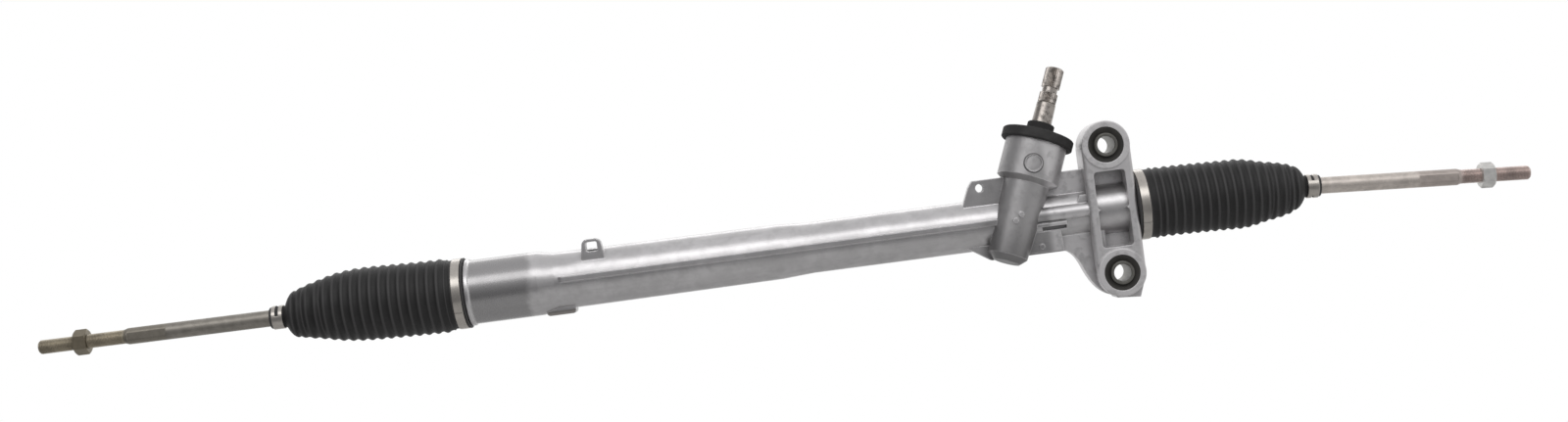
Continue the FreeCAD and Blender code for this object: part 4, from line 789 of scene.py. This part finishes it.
def rod_points(sizes, side):
    """Points round a tie rod, ring by ring from the ball to the tip.

    The radius is the ball's sqrt(R^2 - x^2) up to the neck, then the turned outline, and on the flats no more
    than half their width over |cos a|. On the thread it loses THREAD_DEPTH pitches times
    clip((t - 1/8) / (5/8), 0, 1), where t = |2 u - 1| and u is the fraction left by x / pitch - a / 2 pi.
    """
    flats, flats_end, thread, tip = rod_marks(sizes, side)
    ball, neck = sizes.ball_radius, sizes.neck_radius
    join = math.sqrt(ball ** 2 - neck ** 2)
    turn = np.linspace(0.1, math.pi - math.asin(neck / ball), BALL_ROWS)
    near = 0.3 * MM
    place = np.concatenate([
        -ball * np.cos(turn),
        [ROD_TAPER[0] - near, ROD_TAPER[0], ROD_TAPER[1], ROD_TAPER[1] + near, (ROD_TAPER[1] + flats) / 2],
        [flats - near, flats - near / 20, flats + near / 20, flats + near],
        [flats_end - near, flats_end - near / 20, flats_end + near / 20, flats_end + near, thread - near],
        np.arange(thread, tip - near / 20, sizes.thread_pitch / THREAD_ROWS),
        [tip],
    ])[:, None]
    angle = np.linspace(0.0, 2 * np.pi, ROD_COLUMNS, endpoint=False)[None, :]
    radius = np.interp(
        place, [join, ROD_TAPER[0], ROD_TAPER[1], flats_end, thread, tip - ROD_CHAMFER, tip],
        [neck, neck, sizes.radius, sizes.radius, sizes.thread_radius, sizes.thread_radius,
         sizes.thread_radius - ROD_CHAMFER])
    radius = np.where(place < join, np.sqrt(np.maximum(ball ** 2 - place ** 2, 0.0)), radius) + 0 * angle
    flat = sizes.flats_across / 2 / np.maximum(np.abs(np.cos(angle)), 0.1)
    radius = np.where((place > flats) & (place < flats_end), np.minimum(radius, flat), radius)
    u = place / sizes.thread_pitch - angle / (2 * np.pi)
    ridge = np.abs(2 * (u - np.floor(u)) - 1)
    run = np.clip((place - thread) / (2 * sizes.thread_pitch), 0.0, 1.0)
    groove = THREAD_DEPTH * sizes.thread_pitch * run * np.clip((ridge - 0.125) / 0.625, 0.0, 1.0)
    radius = np.where(place > thread, np.minimum(radius, sizes.thread_radius - groove), radius)
    ahead, across, up = axis_frame(side)
    round_it = np.cos(angle)[..., None] * across + np.sin(angle)[..., None] * up
    return ball_centre(side) + place[..., None] * ahead + radius[..., None] * round_it


class RACK_OT_rods(bpy.types.Operator):
    """Make the tie rods with their rolled threads and give their nuts a finish"""

    bl_idname = "rack.rods"
    bl_label = "Tie rods"

    def execute(self, context):
        colours = context.scene.rack_colours
        sizes = context.scene.rack_rods
        for side in SIDES:
            thread = rod_marks(sizes, side)[2]
            finish = rod_zinc(side, getattr(colours, side + "_rod"), getattr(colours, side + "_thread"), thread)
            piece = grid_mesh(side + "_threaded_rod", rod_points(sizes, side), [finish], capped=True)
            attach(piece, side + "_tie_rod")
            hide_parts(side + "_tie_rod")
            dress(zinc_plate(side + "_nut_zinc", getattr(colours, side + "_nut"), 0.3), side + "_jam_nut")
        return {"FINISHED"}


# Clamps


class ClampSizes(bpy.types.PropertyGroup):
    """Sizes of the boot clamps."""

    thickness: length("Strip", "Thickness of the strip", 0.9)
    large_radius: length("Large clamp", "Bore radius of the large clamps", 29.22)
    large_ear: length("Large ear", "Height of the large clamps' ears", 5.0)
    small_radius: length("Small clamp", "Bore radius of the small clamps", 9.2)
    small_ear: length("Small ear", "Height of the small clamps' ears", 3.8)
    small_width: length("Small width", "Width of the small clamps", 9.5)


# Arcs are in degrees round a clamp from its front. An ear takes its half arc on either side of the back. An
# overlap is its arc's two ends and the height of its step. A window is its arc's two ends, its middle across the
# band and its half width.
LARGE_EAR_HALF = 6.7
SMALL_EAR_HALF = 15.7
LARGE_OVERLAP = (-74.0, -30.0, 0.4 * MM)
NO_OVERLAP = (0.0, 0.0, 0.0)
SMALL_WINDOWS = {
    "left": ((7.0, 150.0, 0.0, 1.25 * MM),),
    "right": ((29.0, 150.0, 0.0, 1.25 * MM), (-150.0, -56.0, 0.0, 0.9 * MM)),
}
CLAMP_COLUMNS = 360
CLAMP_ROW = 0.3 * MM
WINDOW_FLOOR = 0.15 * MM


def between(value, low, high, soft):
    """1 where a value lies between two limits and 0 outside, with straight flanks of a width at both."""
    return np.clip((value - low) / soft, 0.0, 1.0) * np.clip((high - value) / soft, 0.0, 1.0)


def clamp_points(frame_of, centre, radius, thickness, width, ear, ear_half, windows, overlap):
    """Points of a band clamp, and which of them lie in its windows.

    Rows run over the outside from one edge to the other and back through the bore, and columns run round the
    band from its front. The radius is the bore's, plus the strip, plus the ear's height on its arc at the back,
    plus the overlap's step on its arc, less most of the strip in a window.
    """
    edge = 0.25 * MM
    count = max(4, int(round((width - 2 * edge) / CLAMP_ROW)))
    outside = np.concatenate([
        [-width / 2], np.linspace(-width / 2 + edge, width / 2 - edge, count), [width / 2]])
    along = np.concatenate([outside, [width / 2, -width / 2]])[:, None]
    drop = np.concatenate([[edge], np.zeros(count), [edge]])[:, None]
    angle = np.linspace(-180.0, 180.0, CLAMP_COLUMNS, endpoint=False)[None, :]
    back = 180.0 - np.abs(angle)
    soft = math.degrees(0.5 * MM / radius)
    wall = math.degrees(thickness / radius)
    ear_rise = between(back, -1e3, ear_half, soft)
    hollow = between(back, -1e3, ear_half - wall, soft)
    outer = radius + thickness + (ear - thickness) * ear_rise + overlap[2] * between(angle, *overlap[:2], soft)
    inner = radius + (ear - thickness) * hollow
    opened = np.zeros((len(along), angle.shape[1]), bool)
    for low, high, middle, half in windows:
        opened |= (angle > low) & (angle < high) & (np.abs(along - middle) < half)
    opened[len(outside):] = False
    top = np.where(opened[:len(outside)], radius + WINDOW_FLOOR, outer - drop)
    reach = np.concatenate([top, inner, inner])
    ahead, front, up = frame_of
    turned = np.radians(angle)[..., None]
    round_it = np.cos(turned) * front + np.sin(turned) * up
    return centre + along[..., None] * ahead + reach[..., None] * round_it, opened


class RACK_OT_clamps(bpy.types.Operator):
    """Make the boot clamps from plain strip, each with its ear at the back"""

    bl_idname = "rack.clamps"
    bl_label = "Clamps"

    def execute(self, context):
        sizes = context.scene.rack_clamps
        boots = context.scene.rack_boots
        strip = steel("clamp_steel", context.scene.rack_colours.strip, 0.2, (900.0, 90.0, 90.0))
        rubber = bpy.data.materials["boot_rubber"]
        inwards = (np.array([-1.0, 0.0, 0.0]), np.array([0.0, -1.0, 0.0]), np.array([0.0, 0.0, 1.0]))
        for side in SIDES:
            low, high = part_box(side + "_large_clamp")
            points, opened = clamp_points(
                inwards, np.array([(low.x + high.x) / 2, 0.0, 0.0]), sizes.large_radius, sizes.thickness,
                high.x - low.x, sizes.large_ear, LARGE_EAR_HALF, (), LARGE_OVERLAP)
            self.make(side + "_large_strip", points, opened, (strip, rubber), side + "_large_clamp", "housing")
            place = getattr(boots, side + "_neck") + boots.neck_length / 2
            centre = ball_centre(side) + place * rod_direction(side)
            points, opened = clamp_points(
                axis_frame(side, -SIDES[side]), centre, sizes.small_radius, sizes.thickness, sizes.small_width,
                sizes.small_ear, SMALL_EAR_HALF, SMALL_WINDOWS[side], NO_OVERLAP)
            self.make(
                side + "_small_strip", points, opened, (strip, rubber), side + "_small_clamp",
                side + "_tie_rod")
        return {"FINISHED"}

    def make(self, name, points, opened, materials, node, body):
        """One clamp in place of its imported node."""
        piece = grid_mesh(name, points, materials, closed_rows=True, patch=opened)
        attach(piece, body)
        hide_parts(node)


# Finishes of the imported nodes


class RACK_OT_housing(bpy.types.Operator):
    """Give the cast housing its finish"""

    bl_idname = "rack.housing"
    bl_label = "Housing"

    def execute(self, context):
        dress(cast_aluminium(context.scene.rack_colours), "rack_housing")
        return {"FINISHED"}


class RACK_OT_bushes(bpy.types.Operator):
    """Give the mounting bushes and their sleeves their finishes"""

    bl_idname = "rack.bushes"
    bl_label = "Mounting bushes"

    def execute(self, context):
        colours = context.scene.rack_colours
        dress(
            moulded_rubber("bush_rubber", colours.bush, 0.62, 0.3 * MM),
            "upper_bush_rubber", "lower_bush_rubber")
        dress(
            steel("sleeve_steel", colours.sleeve, 0.34, (900.0, 60.0, 900.0)),
            "upper_bush_sleeve", "lower_bush_sleeve")
        return {"FINISHED"}


class RACK_OT_pinion(bpy.types.Operator):
    """Give the pinion, its bearings, seal and dust cover their finishes"""

    bl_idname = "rack.pinion"
    bl_label = "Pinion and cover"

    def execute(self, context):
        colours = context.scene.rack_colours
        dress(
            steel("pinion_steel", colours.shaft, 0.14, (300.0, 300.0, 60.0), 0.15 * MM, stain=0.8),
            "pinion_shaft")
        dress(moulded_rubber("cover_rubber", colours.cover, 0.66, 0.4 * MM, 0.2), "dust_cover")
        dress(moulded_rubber("seal_rubber", colours.bush, 0.5), "pinion_oil_seal")
        dress(
            steel("bearing_steel", (0.62, 0.62, 0.62), 0.18),
            "bearing_outer_race", "bearing_inner_race", "bearing_balls", "needle_shell", "needle_rollers")
        dress(steel("spring_steel", (0.20, 0.19, 0.18), 0.4), "bearing_snap_ring", "pinion_circlip")
        return {"FINISHED"}


class RACK_OT_rack(bpy.types.Operator):
    """Give the rack bar, its sockets and its guide their finishes"""

    bl_idname = "rack.rack"
    bl_label = "Rack bar and guide"

    def execute(self, context):
        colours = context.scene.rack_colours
        dress(steel("rack_steel", (0.58, 0.58, 0.57), 0.2), "rack_bar", "left_socket", "right_socket")
        dress(steel("guide_alloy", (0.6, 0.6, 0.58), 0.42), "rack_guide")
        dress(
            steel("guide_spring_steel", (0.24, 0.23, 0.21), 0.4),
            "rack_guide_spring", "left_claw_washer", "right_claw_washer")
        dress(zinc_plate("plug_zinc", (0.52, 0.49, 0.42), 0.34), "rack_guide_plug", "rack_guide_lock_nut")
        dress(moulded_rubber("guide_ring_rubber", colours.bush, 0.5), "rack_guide_ring")
        dress(
            moulded_plastic("acetal", (0.80, 0.79, 0.72), 0.4),
            "rack_guide_liner", "rack_bush", "left_ball_seat", "right_ball_seat")
        return {"FINISHED"}


# Stage


PLAIN_LIGHT = 0.6
WHITE = (1.0, 1.0, 1.0)
ROOM_LOW = (0.17, 0.17, 0.175)
ROOM_HIGH = (0.80, 0.80, 0.81)
ROOM_RIGHT = (0.75, 0.75, 0.75)
ROOM_LEFT = (0.12, 0.12, 0.125)
FLOOR_TONE = (0.62, 0.62, 0.62)
FLOOR_RADIUS = 1.0
FLOOR_FADE = (0.55, 0.95)
FLOOR_DROP = 0.26
CAMERA_PLACE = (-0.274, -1.615, 0.034)
CAMERA_TARGET = (-0.274, 0.0, 0.034)
CAMERA_LENS = 43.6
CAMERA_ROLL = math.radians(-7.5)

# Each lamp's name, place, target, size and power
LAMPS = (
    ("key_lamp", (-0.35, -1.25, 1.1), (-0.27, 0.0, 0.0), (2.6, 0.75), 10.0),
    ("back_lamp", (-0.2, 1.6, 1.1), (-0.27, 0.0, 0.0), (2.0, 0.6), 5.0),
)


def area_lamp(name, place, target, size, power):
    """A soft white rectangular lamp that points from a place to a target."""
    lamp = bpy.data.lights.new(name, "AREA")
    lamp.shape = "RECTANGLE"
    lamp.size, lamp.size_y = size
    lamp.energy = power
    holder = bpy.data.objects.new(name, lamp)
    bpy.context.scene.collection.objects.link(holder)
    aim(holder, place, target, 0.0)


def aim(thing, place, target, roll):
    """Put a lamp or camera at a place, looking at a target, with a roll in radians round its view."""
    ahead = np.array(target, float) - np.array(place, float)
    ahead /= np.linalg.norm(ahead)
    side = np.cross(ahead, [0.0, 0.0, 1.0])
    side /= np.linalg.norm(side)
    top = np.cross(side, ahead)
    rolled_side = math.cos(roll) * side + math.sin(roll) * top
    rolled_top = math.cos(roll) * top - math.sin(roll) * side
    matrix = np.eye(4)
    matrix[:3, 0] = rolled_side
    matrix[:3, 1] = rolled_top
    matrix[:3, 2] = -ahead
    matrix[:3, 3] = place
    thing.matrix_world = matrix.T.tolist()


class RACK_OT_stage(bpy.types.Operator):
    """Make the floor, the world, the lamps and the camera"""

    bl_idname = "rack.stage"
    bl_label = "Stage"

    def execute(self, context):
        scene = context.scene
        scene.view_settings.view_transform = "Standard"
        self.make_world(scene)
        self.make_floor()
        for lamp in LAMPS:
            area_lamp(*lamp)
        self.make_camera(scene)
        return {"FINISHED"}

    def make_world(self, scene):
        """A world that is white to the camera, plain light to the object and a shaded room when mirrored.

        The room is white behind the object, bright overhead and to the right, and grey in front, below and to
        the left, where a studio is unlit.
        """
        room = Finish("studio", "worlds")
        scene.world = room.material
        rays = room.node("ShaderNodeLightPath", {}, {})
        through = Signal(room, rays.outputs["Is Transmission Ray"])
        seen = Signal(room, rays.outputs["Is Camera Ray"]).most(through)
        mirrored = Signal(room, rays.outputs["Is Glossy Ray"])
        direction = room.node("ShaderNodeTexCoord", {}, {})
        x, y, z = room.axes(Signal(room, direction.outputs["Generated"]))
        shown = room.layers(
            room.blend(z.rise(-0.35, 0.95), ROOM_LOW, ROOM_HIGH),
            (x.rise(0.2, 0.8) * 0.85, ROOM_RIGHT),
            ((0.0 - x).rise(0.15, 0.8) * 0.6, ROOM_LEFT),
            (y.rise(0.1, 0.85), WHITE),
            (seen, WHITE),
        )
        plain = room.node("ShaderNodeBackground", {}, {"Color": colour(WHITE), "Strength": PLAIN_LIGHT})
        background = room.node("ShaderNodeBackground", {}, {"Color": shown, "Strength": 1.0})
        mix = room.node("ShaderNodeMixShader", {}, {0: seen.most(mirrored)})
        room.tree.links.new(plain.outputs[0], mix.inputs[1])
        room.tree.links.new(background.outputs[0], mix.inputs[2])
        output = room.node("ShaderNodeOutputWorld", {}, {})
        room.tree.links.new(mix.outputs[0], output.inputs["Surface"])

    def make_floor(self):
        """A pale round floor under the part that fades out at its rim."""
        finish = Finish("floor_paint")
        x, y, z = finish.axes()
        middle = (CAD_LOW[0] + CAD_HIGH[0]) / 2
        reach = ((x - middle) * (x - middle) + y * y) ** 0.5
        pale = finish.node("ShaderNodeBsdfDiffuse", {}, {"Color": colour(FLOOR_TONE)})
        clear = finish.node("ShaderNodeBsdfTransparent", {}, {})
        mix = finish.node("ShaderNodeMixShader", {}, {0: reach.rise(*FLOOR_FADE)})
        finish.tree.links.new(pale.outputs[0], mix.inputs[1])
        finish.tree.links.new(clear.outputs[0], mix.inputs[2])
        output = finish.node("ShaderNodeOutputMaterial", {}, {})
        finish.tree.links.new(mix.outputs[0], output.inputs["Surface"])
        radius = np.linspace(0.001, FLOOR_RADIUS, 6)[:, None]
        angle = np.linspace(0.0, -2 * np.pi, 96, endpoint=False)[None, :]
        level = CAD_LOW[2] - FLOOR_DROP
        points = np.stack([
            middle + radius * np.cos(angle), radius * np.sin(angle), level + 0 * radius * angle], axis=-1)
        floor = grid_mesh("floor", points, [finish.material])

    def make_camera(self, scene):
        """The camera at the photograph's viewing angle: in front, with the rack rising to the right."""
        camera = bpy.data.cameras.new("photo_camera")
        camera.sensor_width = 36.0
        camera.lens = CAMERA_LENS
        holder = bpy.data.objects.new("photo_camera", camera)
        scene.collection.objects.link(holder)
        aim(holder, CAMERA_PLACE, CAMERA_TARGET, CAMERA_ROLL)
        scene.camera = holder


class RACK_PT_panel(bpy.types.Panel):
    """The operators of the steering rack in the sidebar"""

    bl_idname = "RACK_PT_panel"
    bl_label = "Steering rack"
    bl_space_type = "VIEW_3D"
    bl_region_type = "UI"
    bl_category = "Steering rack"

    def draw(self, context):
        for operator in OPERATORS:
            self.layout.operator(operator.bl_idname)


OPERATORS = (
    RACK_OT_housing,
    RACK_OT_bushes,
    RACK_OT_boots,
    RACK_OT_clamps,
    RACK_OT_rods,
    RACK_OT_pinion,
    RACK_OT_rack,
    RACK_OT_stage,
)
GROUPS = {
    "rack_colours": RackColours,
    "rack_boots": BootSizes,
    "rack_rods": RodSizes,
    "rack_clamps": ClampSizes,
}


def register():
    for group in GROUPS.values():
        bpy.utils.register_class(group)
    for name, group in GROUPS.items():
        setattr(bpy.types.Scene, name, bpy.props.PointerProperty(type=group))
    for operator in OPERATORS:
        bpy.utils.register_class(operator)
    bpy.utils.register_class(RACK_PT_panel)


def unregister():
    bpy.utils.unregister_class(RACK_PT_panel)
    for operator in reversed(OPERATORS):
        bpy.utils.unregister_class(operator)
    for name in GROUPS:
        delattr(bpy.types.Scene, name)
    for group in GROUPS.values():
        bpy.utils.unregister_class(group)


def main():
    """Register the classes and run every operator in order."""
    register()
    bpy.ops.rack.housing()
    bpy.ops.rack.bushes()
    bpy.ops.rack.boots()
    bpy.ops.rack.clamps()
    bpy.ops.rack.rods()
    bpy.ops.rack.pinion()
    bpy.ops.rack.rack()
    bpy.ops.rack.stage()


if __name__ == "__main__":
    main()
